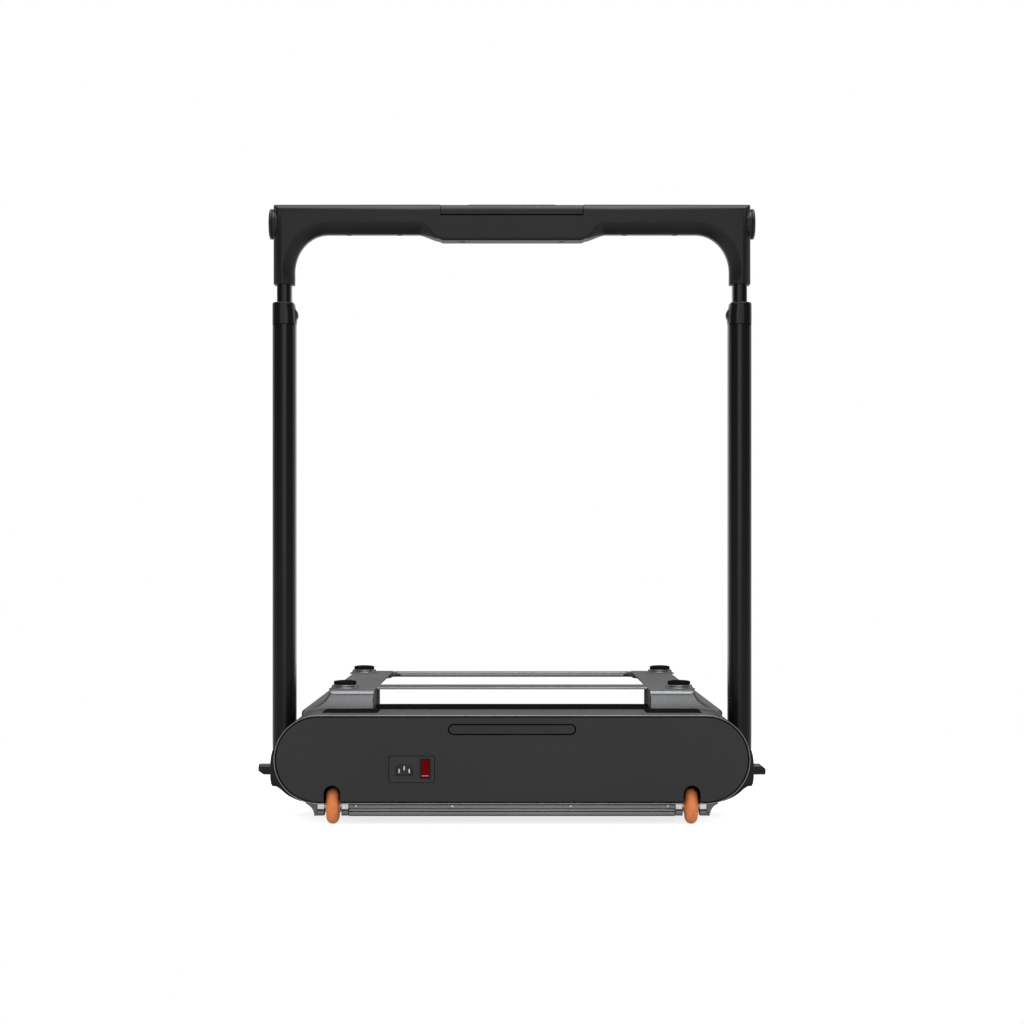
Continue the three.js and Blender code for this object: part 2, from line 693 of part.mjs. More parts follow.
// ---------------------------------------------------------------- inlet and switch
function inletHousing() {
  const body = alongY(roundedRect(inletX, inletZ, inletWidth, inletHeight, inletCorner), 0.5, inletDepth);
  const chamfer = 4;
  const [x0, x1] = [socketX - socketWidth / 2, socketX + socketWidth / 2];
  const [z0, z1] = [inletZ - socketHeight / 2, inletZ + socketHeight / 2];
  const socket = polygon([[x0, z0], [x1, z0], [x1, z1 - chamfer], [x1 - chamfer, z1],
    [x0 + chamfer, z1], [x0, z1 - chamfer]]);
  const pocket = box(rockerX - rockerWidth / 2 - runGap, rockerX + rockerWidth / 2 + runGap,
    0, rockerPocketDepth, rockerZ - rockerHeight / 2 - runGap, rockerZ + rockerHeight / 2 + runGap);
  return body.subtract(alongY(socket, 0, socketDepth)).subtract(pocket);
}
add(baseGroup, 'inlet_housing', inletHousing(), darkPlastic);

function inletContacts() {
  const back = socketDepth - seatGap;
  let contacts = box(socketX - pinPitch / 2 - 2, socketX + pinPitch / 2 + 2, back - contactBase, back,
    inletZ - 5, inletZ + pinRise + 3);
  for (const [dx, dz] of [[-pinPitch / 2, -1], [0, pinRise - 1], [pinPitch / 2, -1]]) {
    contacts = contacts.add(box(socketX + dx - pinWidth / 2, socketX + dx + pinWidth / 2, 2, back,
      inletZ + dz - pinHeight / 2, inletZ + dz + pinHeight / 2));
  }
  return contacts;
}
add(baseGroup, 'inlet_contacts', inletContacts(), steel);

// The rocker turns about X; its back is round about the pivot and its face is a shallow V.
function powerRocker() {
  const half = rockerHeight / 2;
  const face = 0.5 - rockerProud;
  const shape = new THREE.Shape();
  shape.moveTo(face, rockerZ - half + 1.5);
  shape.lineTo(face + 2.4, rockerZ);
  shape.lineTo(face + 0.6, rockerZ + half - 1.5);
  shape.lineTo(rockerPivotDepth, rockerZ + half - 1);
  shape.quadraticCurveTo(rockerPocketDepth - 2, rockerZ + half - 5, rockerPocketDepth - 1.2, rockerZ);
  shape.quadraticCurveTo(rockerPocketDepth - 2, rockerZ - half + 5, rockerPivotDepth, rockerZ - half + 1);
  return alongX(shape, rockerX - rockerWidth / 2, rockerX + rockerWidth / 2);
}
add(baseGroup, 'power_rocker', powerRocker(), red);

// ---------------------------------------------------------------- front crossbar and wheels
const forkInner = wheelX - forkHalfWidth;
function frontCrossbar() {
  const top = tongueTop;
  const middle = (deckBottom + top) / 2;
  const section = polygon([
    [frontBarFront, deckBottom + 2], [frontBarFront + 2, deckBottom], [frontBarBack, deckBottom],
    [frontBarBack, top], [frontBarFront + 2, top], [frontBarFront, top - 2],
    [frontBarFront, middle + 1], [frontBarFront + frontBarGroove, middle],
    [frontBarFront + frontBarGroove, middle - 3], [frontBarFront, middle - 4],
  ]);
  return alongX(section, -forkInner + seatGap, forkInner - seatGap);
}
add(baseGroup, 'front_crossbar', frontCrossbar(), castSilver);

function wheelFork() {
  const side = roundedRect((forkFront + forkBack) / 2, (deckBottom + tongueTop) / 2, forkBack - forkFront,
    tongueTop - deckBottom, 4);
  return alongX(side, forkInner, wheelX + forkHalfWidth)
    .subtract(box(wheelX - archHalfWidth, wheelX + archHalfWidth, 0, forkSlotBack, 0, hoodBottom + 1))
    .subtract(rodX(axleRadius + seatGap, forkInner - 1, wheelX + forkHalfWidth + 1, wheelY, wheelRadius));
}
addPair(baseGroup, 'wheel_fork', wheelFork(), polished);
addPair(baseGroup, 'wheel_axle', rodX(axleRadius, forkInner, wheelX + forkHalfWidth, wheelY, wheelRadius),
  steel);

function wheel() {
  const half = wheelWidth / 2;
  const bore = axleRadius + runGap;
  const hub = 9;
  const profile = [[bore, -half - 1], [hub, -half - 1], [hub + 1, -half + 2], [wheelRadius - 9, -half + 2]];
  const shoulder = half;
  const treadCentre = wheelRadius - shoulder;
  for (let i = 0; i <= 8; i += 1) {
    const angle = -Math.PI / 2 + (Math.PI * i) / 8;
    profile.push([treadCentre + shoulder * Math.cos(angle), half * Math.sin(angle)]);
  }
  profile.push([wheelRadius - 9, half - 2], [hub + 1, half - 2], [hub, half + 1], [bore, half + 1],
    [bore, -half - 1]);
  return turnedX(profile, 0, 0);
}
for (const [sideName, side] of [['left', -1], ['right', 1]]) {
  add(baseGroup, `wheel_${sideName}`, wheel(), orange, [side * wheelX, wheelY, wheelRadius]);
}

// ---------------------------------------------------------------- post brackets and lock levers
const postFront = pivotY - postDepth / 2;
const channelInner = postX - postWidth / 2 - runGap;
const channelOuter = postX + postWidth / 2 + runGap;
function postBracket() {
  const inner = deckHalfWidth + seatGap;
  const outline = new THREE.Shape();
  outline.moveTo(inner, deckBottom + bracketFoot);
  outline.quadraticCurveTo(bracketOuterX - bracketFlareReach, deckBottom + bracketFlareRise,
    bracketOuterX - 1, deckBottom + bracketWaist - 3);
  outline.lineTo(bracketOuterX, deckBottom + bracketWaist);
  outline.lineTo(bracketOuterX, bracketTop - bracketChamfer);
  outline.lineTo(channelOuter + 1, bracketTop);
  outline.lineTo(inner, bracketTop);
  const swing = postDepth / 2 + runGap;
  const channel = box(channelInner, channelOuter, pivotY, bracketBack + 1, pivotZ - swing, bracketTop + 1)
    .add(box(channelInner, channelOuter, postFront - runGap, pivotY, pivotZ, bracketTop + 1))
    .add(rodX(swing, channelInner, channelOuter, pivotY, pivotZ));
  return alongY(outline, hoodDepth + seatGap, bracketBack)
    .subtract(channel)
    .subtract(rodX(leverSpindleRadius + runGap, channelOuter - 1, bracketOuterX + 1, pivotY, pivotZ))
    .subtract(rodX(leverSpindleRadius + runGap, inner + 2, channelInner + 1, pivotY, pivotZ));
}
addPair(baseGroup, 'post_bracket', postBracket(), satinBlack);

function lockLever() {
  const x0 = bracketOuterX + seatGap;
  const x1 = bracketOuterX + leverReach;
  const [z0, z1] = [pivotZ - leverHeight / 2, pivotZ + leverHeight / 2];
  const section = polygon([[x0, z0], [x1 - leverChamfer, z0], [x1, z0 + leverChamfer - 1], [x1, z1 - 1],
    [x1 - 1, z1], [x0 + 4, z1], [x0, z1 - 2]]);
  const plan = new THREE.Shape();
  const round = leverHeight / 2;
  plan.absarc(pivotY, pivotZ, round, Math.PI / 2, 1.5 * Math.PI);
  plan.lineTo(pivotY + leverLength - 5, pivotZ - round + 2);
  plan.absarc(pivotY + leverLength - 5, pivotZ, round - 2, -Math.PI / 2, Math.PI / 2);
  return alongY(section, pivotY - round, pivotY + leverLength)
    .intersect(alongX(plan, x0, x1))
    .add(rodX(leverSpindleRadius, deckHalfWidth + seatGap + 3, x0 + 1, pivotY, pivotZ));
}
addPair(baseGroup, 'lock_lever', lockLever(), darkPlastic);

// ---------------------------------------------------------------- rear half, folded over
function addRear(name, geometry, look) {
  add(rearGroup, name, overFold(geometry), look);
}
const rearFrame = toGeometry(sideFrame(rearHalfStart, rearRollerY, knuckleSplitX + runGap / 2, knuckleOuterX));
addRear('rear_frame_right', rearFrame, castSilver);
addRear('rear_frame_left', mirrored(rearFrame, 'x'), castSilver);
addRear('rear_deck_board', toGeometry(deckBoard(rearRollerY)), boardBrown);
addRear('rear_belt', toGeometry(walkingBelt(rearRollerY)), beltBlack);
addRear('rear_fold_bar', toGeometry(foldBar()), castSilver);
for (const [sideName, side] of [['left', -1], ['right', 1]]) {
  for (const [endName, y] of [['near', footNearY], ['far', footFarY]]) {
    add(rearGroup, `rear_foot_${endName}_${sideName}`, mirrored(mergeVertices(foot()), 'z'), rubberBlack,
      [side * footX, y, 2 * foldPlane]);
  }
}
const endPlate = box(-boardHalfWidth, boardHalfWidth, rearHalfStart, rearHalfStart + endPlateLength,
  deckBottom, deckBottom + endPlateThickness);
addRear('rear_end_plate', toGeometry(endPlate), castSilver);

const rearShaftEnd = frameInnerX + rollerShaftReach;
addRear('rear_roller', toGeometry(turnedX([
  [0, -rearShaftEnd], [rollerShaftRadius, -rearShaftEnd], [rollerShaftRadius, -rollerHalfLength],
  [rollerRadius, -rollerHalfLength], [rollerRadius, rollerHalfLength],
  [rollerShaftRadius, rollerHalfLength], [rollerShaftRadius, rearShaftEnd], [0, rearShaftEnd],
], rearRollerY, rollerZ)), steel);

// ---------------------------------------------------------------- posts
const postSection = (grow = 0) =>
  roundedRect(postX, pivotY, postWidth + grow, postDepth + grow, postCorner + grow / 2);
const tubeSection = (grow = 0) =>
  roundedRect(postX, pivotY, tubeWidth + grow, tubeDepth + grow, tubeCorner + grow / 2);

function post() {
  const end = rodX(postDepth / 2, postX - postWidth / 2, postX + postWidth / 2, pivotY, pivotZ);
  return alongZ(postSection(), pivotZ, collarBottom - seatGap)
    .add(end)
    .subtract(alongZ(postSection(-2 * postWall), postBoreFloor, collarTop))
    .subtract(rodX(leverSpindleRadius + runGap, channelInner - 1, channelOuter + 1, pivotY, pivotZ));
}
addPair(uprightGroup, 'post', post(), satinBlack);

const postInnerX = postX - postWidth / 2;
function collar() {
  const pocket = box(postInnerX - 1, postInnerX + lockButtonDepth, pivotY - lockButtonWidth / 2 - runGap,
    pivotY + lockButtonWidth / 2 + runGap, lockButtonZ - lockButtonHeight / 2 - runGap,
    lockButtonZ + lockButtonHeight / 2 + runGap);
  return alongZ(postSection(), collarBottom, collarTop)
    .subtract(alongZ(tubeSection(2 * runGap), collarBottom - 1, collarTop + 1))
    .subtract(pocket);
}
addPair(uprightGroup, 'collar', collar(), satinBlack);

function lockButton() {
  const [z0, z1] = [lockButtonZ - lockButtonHeight / 2, lockButtonZ + lockButtonHeight / 2];
  const out = postInnerX - lockButtonProud;
  const section = polygon([[postInnerX + 2, z0], [postInnerX + 2, z1], [postInnerX, z1],
    [out, lockButtonZ + 3], [out, lockButtonZ - 3], [postInnerX, z0]]);
  return alongY(section, pivotY - lockButtonWidth / 2, pivotY + lockButtonWidth / 2);
}
addPair(uprightGroup, 'height_button', lockButton(), darkPlastic);

// ---------------------------------------------------------------- handlebar
function handleOutline() {
  const shape = new THREE.Shape();
  const outer = postX + sleeveWidth / 2;
  const inner = postX - sleeveWidth / 2;
  const corner = (side) => {
    const points = [];
    for (let i = 0; i <= arcSteps; i += 1) {
      const angle = (Math.PI / 2) * (i / arcSteps);
      points.push([side * (inner - cornerReach * (1 - Math.cos(angle))),
        armBottom - cornerDrop * (1 - Math.sin(angle))]);
    }
    return points;
  };
  const half = [
    [inner, sleeveBottom], ...corner(1), [consoleHalfWidth + consoleSlope, armBottom],
    [consoleHalfWidth, consoleBottom],
  ];
  const points = [[outer, handleTop], [outer, sleeveBottom], ...half,
    ...half.map(([x, z]) => [-x, z]).reverse(), [-outer, sleeveBottom], [-outer, handleTop]];
  points.reverse().forEach(([x, z], i) => (i ? shape.lineTo(x, z) : shape.moveTo(x, z)));
  return shape;
}

function handleBlank() {
  const geometry = new THREE.ExtrudeGeometry(handleOutline(), {
    depth: postDepth - 2 * handleRound, bevelEnabled: true, bevelThickness: handleRound,
    bevelSize: handleRound, bevelOffset: -handleRound, bevelSegments: 3, curveSegments: arcSteps,
  });
  geometry.rotateX(Math.PI / 2).translate(0, pivotY + postDepth / 2 - handleRound, 0);
  return toSolid(geometry);
}

function handleShell(blank) {
  const tubeRight = toGeometry(alongZ(tubeSection(2 * seatGap), sleeveBottom - 1, sleeveBoreTop));
  const hub = toGeometry(rodX(hubRadius, postX, postX + sleeveWidth / 2 + hubProud, pivotY, hubZ));
  const deckCut = box(-coverHalfWidth - seatGap, coverHalfWidth + seatGap, pivotY - postDepth,
    pivotY + postDepth, coverBottom - seatGap, handleTop + 1);
  return blank
    .add(toSolid(hub)).add(toSolid(mirrored(hub, 'x')))
    .subtract(toSolid(tubeRight)).subtract(toSolid(mirrored(tubeRight, 'x')))
    .subtract(deckCut);
}

const keyPlaces = [['key_slower', -keyPitch], ['key_start', 0], ['key_faster', keyPitch]];
const keySection = (x, grow) => roundedRect(x, keyY, keyWidth + grow, keyDepth + grow, 4);

function displayCover(blank) {
  let cover = blank.intersect(box(-coverHalfWidth, coverHalfWidth, pivotY - postDepth, pivotY + postDepth,
    coverBottom, handleTop + 1));
  for (const [, x] of keyPlaces) {
    cover = cover.subtract(alongZ(keySection(x, 2 * runGap), handleTop - keyPocket, handleTop + 1));
  }
  return cover;
}

const blank = handleBlank();
add(handleGroup, 'handlebar', handleShell(blank), satinBlack);
add(handleGroup, 'display_cover', displayCover(blank), glossBlack);
for (const [name, x] of keyPlaces) {
  add(handleGroup, name, alongZ(keySection(x, 0), handleTop - keyHeight + keyProud, handleTop + keyProud),
    darkPlastic);
}
const innerTube = alongZ(tubeSection(), tubeBottom, sleeveBoreTop - seatGap)
  .subtract(alongZ(tubeSection(-2 * tubeWall), tubeBottom - 1, sleeveBoreTop));
addPair(handleGroup, 'inner_tube', innerTube, satinBlack);
const capX = postX + sleeveWidth / 2 + hubProud + seatGap;
addPair(handleGroup, 'end_cap', turnedX([[0, capX], [hubRadius, capX], [hubRadius, capX + capThickness - 2],
  [hubRadius - 2, capX + capThickness], [0, capX + capThickness]], pivotY, hubZ), darkPlastic);

export default treadmill;
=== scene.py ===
"""Folding treadmill: finishes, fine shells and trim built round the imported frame."""

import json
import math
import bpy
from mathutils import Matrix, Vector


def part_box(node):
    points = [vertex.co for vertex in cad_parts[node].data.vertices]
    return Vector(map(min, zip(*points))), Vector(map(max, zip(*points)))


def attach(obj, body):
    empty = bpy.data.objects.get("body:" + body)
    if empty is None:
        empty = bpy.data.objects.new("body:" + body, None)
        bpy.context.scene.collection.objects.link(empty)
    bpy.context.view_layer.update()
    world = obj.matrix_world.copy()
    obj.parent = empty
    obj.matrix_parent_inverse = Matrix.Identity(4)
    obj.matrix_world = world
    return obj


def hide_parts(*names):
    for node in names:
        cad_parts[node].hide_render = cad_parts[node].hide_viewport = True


bl_info = {
    "name": "Folding Treadmill",
    "version": (1, 0, 0),
    "blender": (4, 5, 0),
    "location": "View3D > Sidebar > Treadmill",
    "description": "Builds the fine shells, trim and finishes of a folding treadmill",
    "category": "Object",
}

import bmesh
import bpy
from mathutils import Matrix, Vector

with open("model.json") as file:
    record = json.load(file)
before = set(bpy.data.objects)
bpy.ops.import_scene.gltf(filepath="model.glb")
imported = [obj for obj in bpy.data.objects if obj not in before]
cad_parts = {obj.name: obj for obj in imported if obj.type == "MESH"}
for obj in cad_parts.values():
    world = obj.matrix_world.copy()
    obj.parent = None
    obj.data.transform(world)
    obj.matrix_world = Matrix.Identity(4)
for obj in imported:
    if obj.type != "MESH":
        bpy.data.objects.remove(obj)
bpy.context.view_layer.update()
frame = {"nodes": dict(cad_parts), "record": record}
NODES = frame["nodes"]
MM = 0.001
PI = math.pi
SIDES = (("left", -1), ("right", 1))


# ------------------------------------------------------------------ shader maths
def plug(tree, socket, item):
    """Links a Value to the socket, or sets the socket to a number, a vector or a colour."""
    if isinstance(item, Value):
        tree.links.new(item.socket, socket)
    elif isinstance(item, tuple) and len(item) == 3 and socket.type == "RGBA":
        socket.default_value = (*item, 1.0)
    else:
        socket.default_value = item


def add_node(tree, kind, settings=None, sockets=None):
    """A new node: its settings are set first, then its sockets get their values or links."""
    made = tree.nodes.new(kind)
    for key, item in (settings or {}).items():
        setattr(made, key, item)
    for key, item in (sockets or {}).items():
        plug(tree, made.inputs[key], item)
    return made


class Value:
    """An output socket of a shader tree; arithmetic on it adds Math nodes."""

    def __init__(self, tree, socket):
        self.tree = tree
        self.socket = socket

    def math(self, operation, *items):
        """What a Math node makes of the items, in their order."""
        made = add_node(self.tree, "ShaderNodeMath", {"operation": operation}, dict(enumerate(items)))
        return Value(self.tree, made.outputs[0])

    def __add__(self, other):
        return self.math("ADD", self, other)

    def __radd__(self, other):
        return self.math("ADD", other, self)

    def __sub__(self, other):
        return self.math("SUBTRACT", self, other)

    def __rsub__(self, other):
        return self.math("SUBTRACT", other, self)

    def __mul__(self, other):
        return self.math("MULTIPLY", self, other)

    def __rmul__(self, other):
        return self.math("MULTIPLY", other, self)

    def __pow__(self, other):
        return self.math("POWER", self, other)

    def __rpow__(self, other):
        return self.math("POWER", other, self)

    def sine(self):
        return self.math("SINE", self)

    def at_most(self, limit):
        return self.math("MINIMUM", self, limit)

    def between(self, low, high):
        """0 under low and 1 over high, smoothly."""
        made = add_node(self.tree, "ShaderNodeMapRange", {"interpolation_type": "SMOOTHSTEP"},
                        {"Value": self, "From Min": low, "From Max": high})
        return Value(self.tree, made.outputs[0])

    def mix(self, first, second):
        """A colour that goes from first to second as this value goes from 0 to 1."""
        made = add_node(self.tree, "ShaderNodeMix", {"data_type": "RGBA"}, {0: self, 6: first, 7: second})
        return Value(self.tree, made.outputs[2])


class Finish:
    """A material whose surface is set up by method calls."""

    def __init__(self, name, **constants):
        self.material = bpy.data.materials.new(name)
        self.material.use_nodes = True
        self.tree = self.material.node_tree
        self.shader = self.tree.nodes["Principled BSDF"]
        for socket, item in constants.items():
            self.set(socket.replace("_", " "), item)

    def set(self, socket, item):
        plug(self.tree, self.shader.inputs[socket], item)
        return self

    def node(self, kind, settings=None, sockets=None, output=0):
        return Value(self.tree, add_node(self.tree, kind, settings, sockets).outputs[output])

    def point(self):
        """The place on the object in metres."""
        return self.node("ShaderNodeTexCoord", output="Object")

    def noise(self, scale, detail=3.0, stretch=(1.0, 1.0, 1.0)):
        place = self.node("ShaderNodeMapping", None, {"Vector": self.point(), "Scale": stretch})
        return self.node("ShaderNodeTexNoise", None, {"Vector": place, "Scale": scale, "Detail": detail})

    def axis(self, index):
        return self.node("ShaderNodeSeparateXYZ", None, {0: self.point()}, output=index)

    def glancing(self):
        """0 face on, 1 where the surface is seen along itself."""
        return self.node("ShaderNodeLayerWeight", None, {"Blend": 0.5}, output="Facing") ** 6.0

    def bump(self, height, strength, distance):
        """Relief from the height, at most as deep as the distance in metres."""
        return self.set("Normal", self.node("ShaderNodeBump", None, {
            "Strength": strength, "Distance": distance, "Height": height}))


def shade(colour, factor):
    """The colour, darker or lighter by the factor."""
    return tuple(channel * factor for channel in colour)


# ------------------------------------------------------------------ settings
class TreadmillColours(bpy.types.PropertyGroup):
    """Colours of the finishes that set the treadmill's look."""

    silver: bpy.props.FloatVectorProperty(
        name="Silver", description="Painted castings", subtype="COLOR", default=(0.145, 0.147, 0.15))
    black: bpy.props.FloatVectorProperty(
        name="Black", description="Powder-coated posts", subtype="COLOR", default=(0.0045, 0.0045, 0.0048))
    charcoal: bpy.props.FloatVectorProperty(
        name="Charcoal", description="Handlebar mouldings", subtype="COLOR",
        default=(0.0065, 0.0065, 0.0069))
    panel: bpy.props.FloatVectorProperty(
        name="Panel", description="End panel", subtype="COLOR", default=(0.037, 0.037, 0.037))
    orange: bpy.props.FloatVectorProperty(
        name="Orange", description="Transport wheels", subtype="COLOR", default=(0.88, 0.27, 0.09))
    red: bpy.props.FloatVectorProperty(
        name="Red", description="Power rocker", subtype="COLOR", default=(0.13, 0.0012, 0.003))


class TreadmillSizes(bpy.types.PropertyGroup):
    """Sizes of the fine edges and trim."""

    bar_edge: bpy.props.FloatProperty(
        name="Bar edge", description="Rounding of the handlebar's upper edges", subtype="DISTANCE",
        default=0.0105)
    bar_belly: bpy.props.FloatProperty(
        name="Bar belly", description="Rounding of the handlebar's lower edges", subtype="DISTANCE",
        default=0.017)
    console_lip: bpy.props.FloatProperty(
        name="Console lip", description="Rounding under the console", subtype="DISTANCE", default=0.005)
    frame_edge: bpy.props.FloatProperty(
        name="Frame edge", description="Rounding of the castings' ends", subtype="DISTANCE",
        default=0.0032)
    frame_brow: bpy.props.FloatProperty(
        name="Frame brow", description="Rounding of the castings' end along the sole",
        subtype="DISTANCE", default=0.0075)
    frame_flare: bpy.props.FloatProperty(
        name="Frame flare", description="Forward flare of the castings' roller end",
        subtype="DISTANCE", default=0.005)
    strip_width: bpy.props.FloatProperty(
        name="Foot strip width", description="Ribbed strips beside the belt", subtype="DISTANCE",
        default=0.078)
    rib_pitch: bpy.props.FloatProperty(
        name="Rib pitch", description="Spacing of the foot strips' ribs", subtype="DISTANCE", default=0.006)


# ------------------------------------------------------------------ finishes
FINISHES = {}
WEAVE_PITCH = 4.2 * MM


def casting_silver(colours):
    silver = tuple(colours.silver)
    made = Finish("casting_silver", Metallic=0.6, Roughness=0.34, Specular_IOR_Level=0.2,
                  Specular_Tint=(0.1, 0.1, 0.1))
    cloud = made.noise(6.0, 4.0)
    grain = made.noise(900.0, 2.0)
    made.set("Base Color", cloud.between(0.3, 0.7).mix(shade(silver, 0.9), shade(silver, 1.08)))
    made.set("Roughness", 0.21 + 0.07 * cloud + 0.04 * grain + 0.5 * made.glancing())
    return made.bump(grain, 0.03, 0.0002)


def polished_metal(_colours):
    made = Finish("polished_metal", Base_Color=(0.74, 0.74, 0.75), Metallic=1.0, Roughness=0.14)
    smear = made.noise(40.0, 3.0, (1.0, 6.0, 1.0))
    return made.set("Roughness", 0.08 + 0.12 * smear)


def trim_silver(_colours):
    made = Finish("trim_silver", Base_Color=(0.16, 0.16, 0.165), Metallic=1.0, Roughness=0.25)
    smear = made.noise(40.0, 3.0, (1.0, 6.0, 1.0))
    return made.set("Roughness", 0.2 + 0.12 * smear)


def powder_black(colours):
    made = Finish("powder_black", Base_Color=tuple(colours.black), Roughness=0.28, Specular_IOR_Level=0.22)
    peel = made.noise(420.0, 2.0)
    cloud = made.noise(5.0, 3.0)
    made.set("Roughness", 0.25 + 0.06 * cloud)
    return made.bump(peel, 0.12, 0.0002)


def moulded_charcoal(colours):
    charcoal = tuple(colours.charcoal)
    made = Finish("moulded_charcoal", Roughness=0.44, Specular_IOR_Level=0.25)
    spark = made.noise(1500.0, 2.0)
    cloud = made.noise(7.0, 3.0)
    made.set("Base Color", cloud.between(0.3, 0.7).mix(shade(charcoal, 0.94), shade(charcoal, 1.05)))
    made.set("Roughness", 0.4 + 0.08 * cloud)
    return made.bump(spark, 0.22, 0.00015)


def panel_grey(colours):
    panel = tuple(colours.panel)
    made = Finish("panel_grey", Roughness=0.62, Specular_IOR_Level=0.1)
    spark = made.noise(1300.0, 2.0)
    cloud = made.noise(4.0, 2.0)
    made.set("Base Color", cloud.between(0.3, 0.7).mix(shade(panel, 0.97), shade(panel, 1.03)))
    made.set("Roughness", 0.58 + 0.08 * spark)
    return made.bump(spark, 0.18, 0.00015)


def shell_grey(_colours):
    made = Finish("shell_grey", Base_Color=(0.014, 0.014, 0.015), Roughness=0.34, Specular_IOR_Level=0.25)
    cloud = made.noise(9.0, 3.0)
    made.set("Roughness", 0.3 + 0.1 * cloud + 0.35 * made.glancing())
    return made.bump(made.noise(700.0, 2.0), 0.05, 0.0001)


def rubber_black(_colours):
    made = Finish("rubber_black", Roughness=0.85, Specular_IOR_Level=0.0)
    cloud = made.noise(60.0, 4.0)
    made.set("Base Color", cloud.mix((0.008, 0.008, 0.008), (0.015, 0.015, 0.015)))
    return made.bump(made.noise(1100.0, 2.0), 0.3, 0.0002)


def belt_black(_colours):
    """Woven running belt: a fine diamond emboss, two weaves crossing."""
    made = Finish("belt_black", Roughness=0.8, Specular_IOR_Level=0.0)
    across = made.axis(0)
    along = made.axis(1)
    turns = 2 * PI / WEAVE_PITCH
    weave = ((across + along) * turns).sine() * ((across - along) * turns).sine()
    speck = made.noise(500.0, 2.0)
    made.set("Base Color", speck.between(0.35, 0.7).mix((0.005, 0.005, 0.0053), (0.014, 0.014, 0.0147)))
    made.set("Roughness", 0.7 + 0.15 * speck)
    return made.bump(weave, 0.5, 0.0004)


def deck_board(_colours):
    made = Finish("deck_board", Roughness=0.6)
    fibre = made.noise(120.0, 5.0, (1.0, 0.1, 1.0))
    made.set("Base Color", fibre.mix((0.035, 0.022, 0.014), (0.075, 0.05, 0.033)))
    return made.bump(fibre, 0.2, 0.0003)


def turned_steel(_colours):
    made = Finish("turned_steel", Base_Color=(0.56, 0.57, 0.58), Metallic=1.0, Roughness=0.3)
    lines = made.noise(600.0, 2.0, (1.0, 0.05, 0.05))
    return made.set("Roughness", 0.2 + 0.2 * lines)


def wheel_orange(colours):
    orange = tuple(colours.orange)
    made = Finish("wheel_orange", Roughness=0.42, Specular_IOR_Level=0.25, Subsurface_Weight=0.08,
                  Subsurface_Radius=(0.01, 0.003, 0.001))
    scuff = made.noise(180.0, 4.0)
    made.set("Base Color", scuff.between(0.25, 0.75).mix(shade(orange, 0.86), orange))
    made.set("Roughness", 0.36 + 0.14 * scuff)
    return made.bump(scuff, 0.08, 0.0003)


def rocker_red(colours):
    made = Finish("rocker_red", Base_Color=tuple(colours.red), Roughness=0.3, Specular_IOR_Level=0.03)
    return made.set("Roughness", 0.26 + 0.1 * made.noise(300.0, 2.0))


# A pale pink: the painted highlight on the rocker's lower edge, not a colour of the rocker.
def rocker_highlight_paint(_colours):
    made = Finish("rocker_highlight_paint", Base_Color=(0.6, 0.16, 0.17), Roughness=0.3)
    return made.set("Roughness", 0.26 + 0.1 * made.noise(300.0, 2.0))


def dark_plastic(_colours):
    made = Finish("dark_plastic", Base_Color=(0.016, 0.016, 0.016), Roughness=0.5,
                  Specular_IOR_Level=0.38)
    grain = made.noise(1400.0, 2.0)
    made.set("Roughness", 0.44 + 0.12 * grain)
    return made.bump(grain, 0.25, 0.00015)


def gloss_black(_colours):
    made = Finish("gloss_black", Base_Color=(0.006, 0.006, 0.007), Roughness=0.08, Coat_Weight=0.5,
                  Coat_Roughness=0.03)
    return made.set("Roughness", 0.05 + 0.06 * made.noise(25.0, 3.0))


def circuit_green(_colours):
    made = Finish("circuit_green", Roughness=0.45)
    parts = made.noise(90.0, 1.0)
    return made.set("Base Color", parts.between(0.4, 0.6).mix((0.02, 0.1, 0.045), (0.06, 0.2, 0.09)))


def shadow_gap(_colours):
    made = Finish("shadow_gap", Base_Color=(0.004, 0.004, 0.004), Roughness=0.9, Specular_IOR_Level=0.1)
    return made.set("Roughness", 0.85 + 0.1 * made.noise(200.0, 2.0))


def symbol_white(_colours):
    made = Finish("symbol_white", Base_Color=(0.62, 0.63, 0.64), Roughness=0.5)
    return made.set("Roughness", 0.45 + 0.1 * made.noise(300.0, 2.0))


FINISH_MAKERS = (
    casting_silver, polished_metal, trim_silver, powder_black, moulded_charcoal, panel_grey, shell_grey,
    rubber_black, belt_black, deck_board, turned_steel, wheel_orange, rocker_red, rocker_highlight_paint,
    dark_plastic, gloss_black, circuit_green, shadow_gap, symbol_white,
)
SLOT_FINISHES = {
    "cast_silver": "casting_silver", "polished": "polished_metal", "satin_black": "powder_black",
    "handle_black": "moulded_charcoal", "panel_grey": "panel_grey", "shell_grey": "shell_grey",
    "rubber_black": "rubber_black", "belt_black": "belt_black", "deck_board": "deck_board",
    "steel": "turned_steel", "orange": "wheel_orange", "red": "rocker_red",
    "dark_plastic": "dark_plastic", "gloss_black": "gloss_black", "circuit_green": "circuit_green",
}


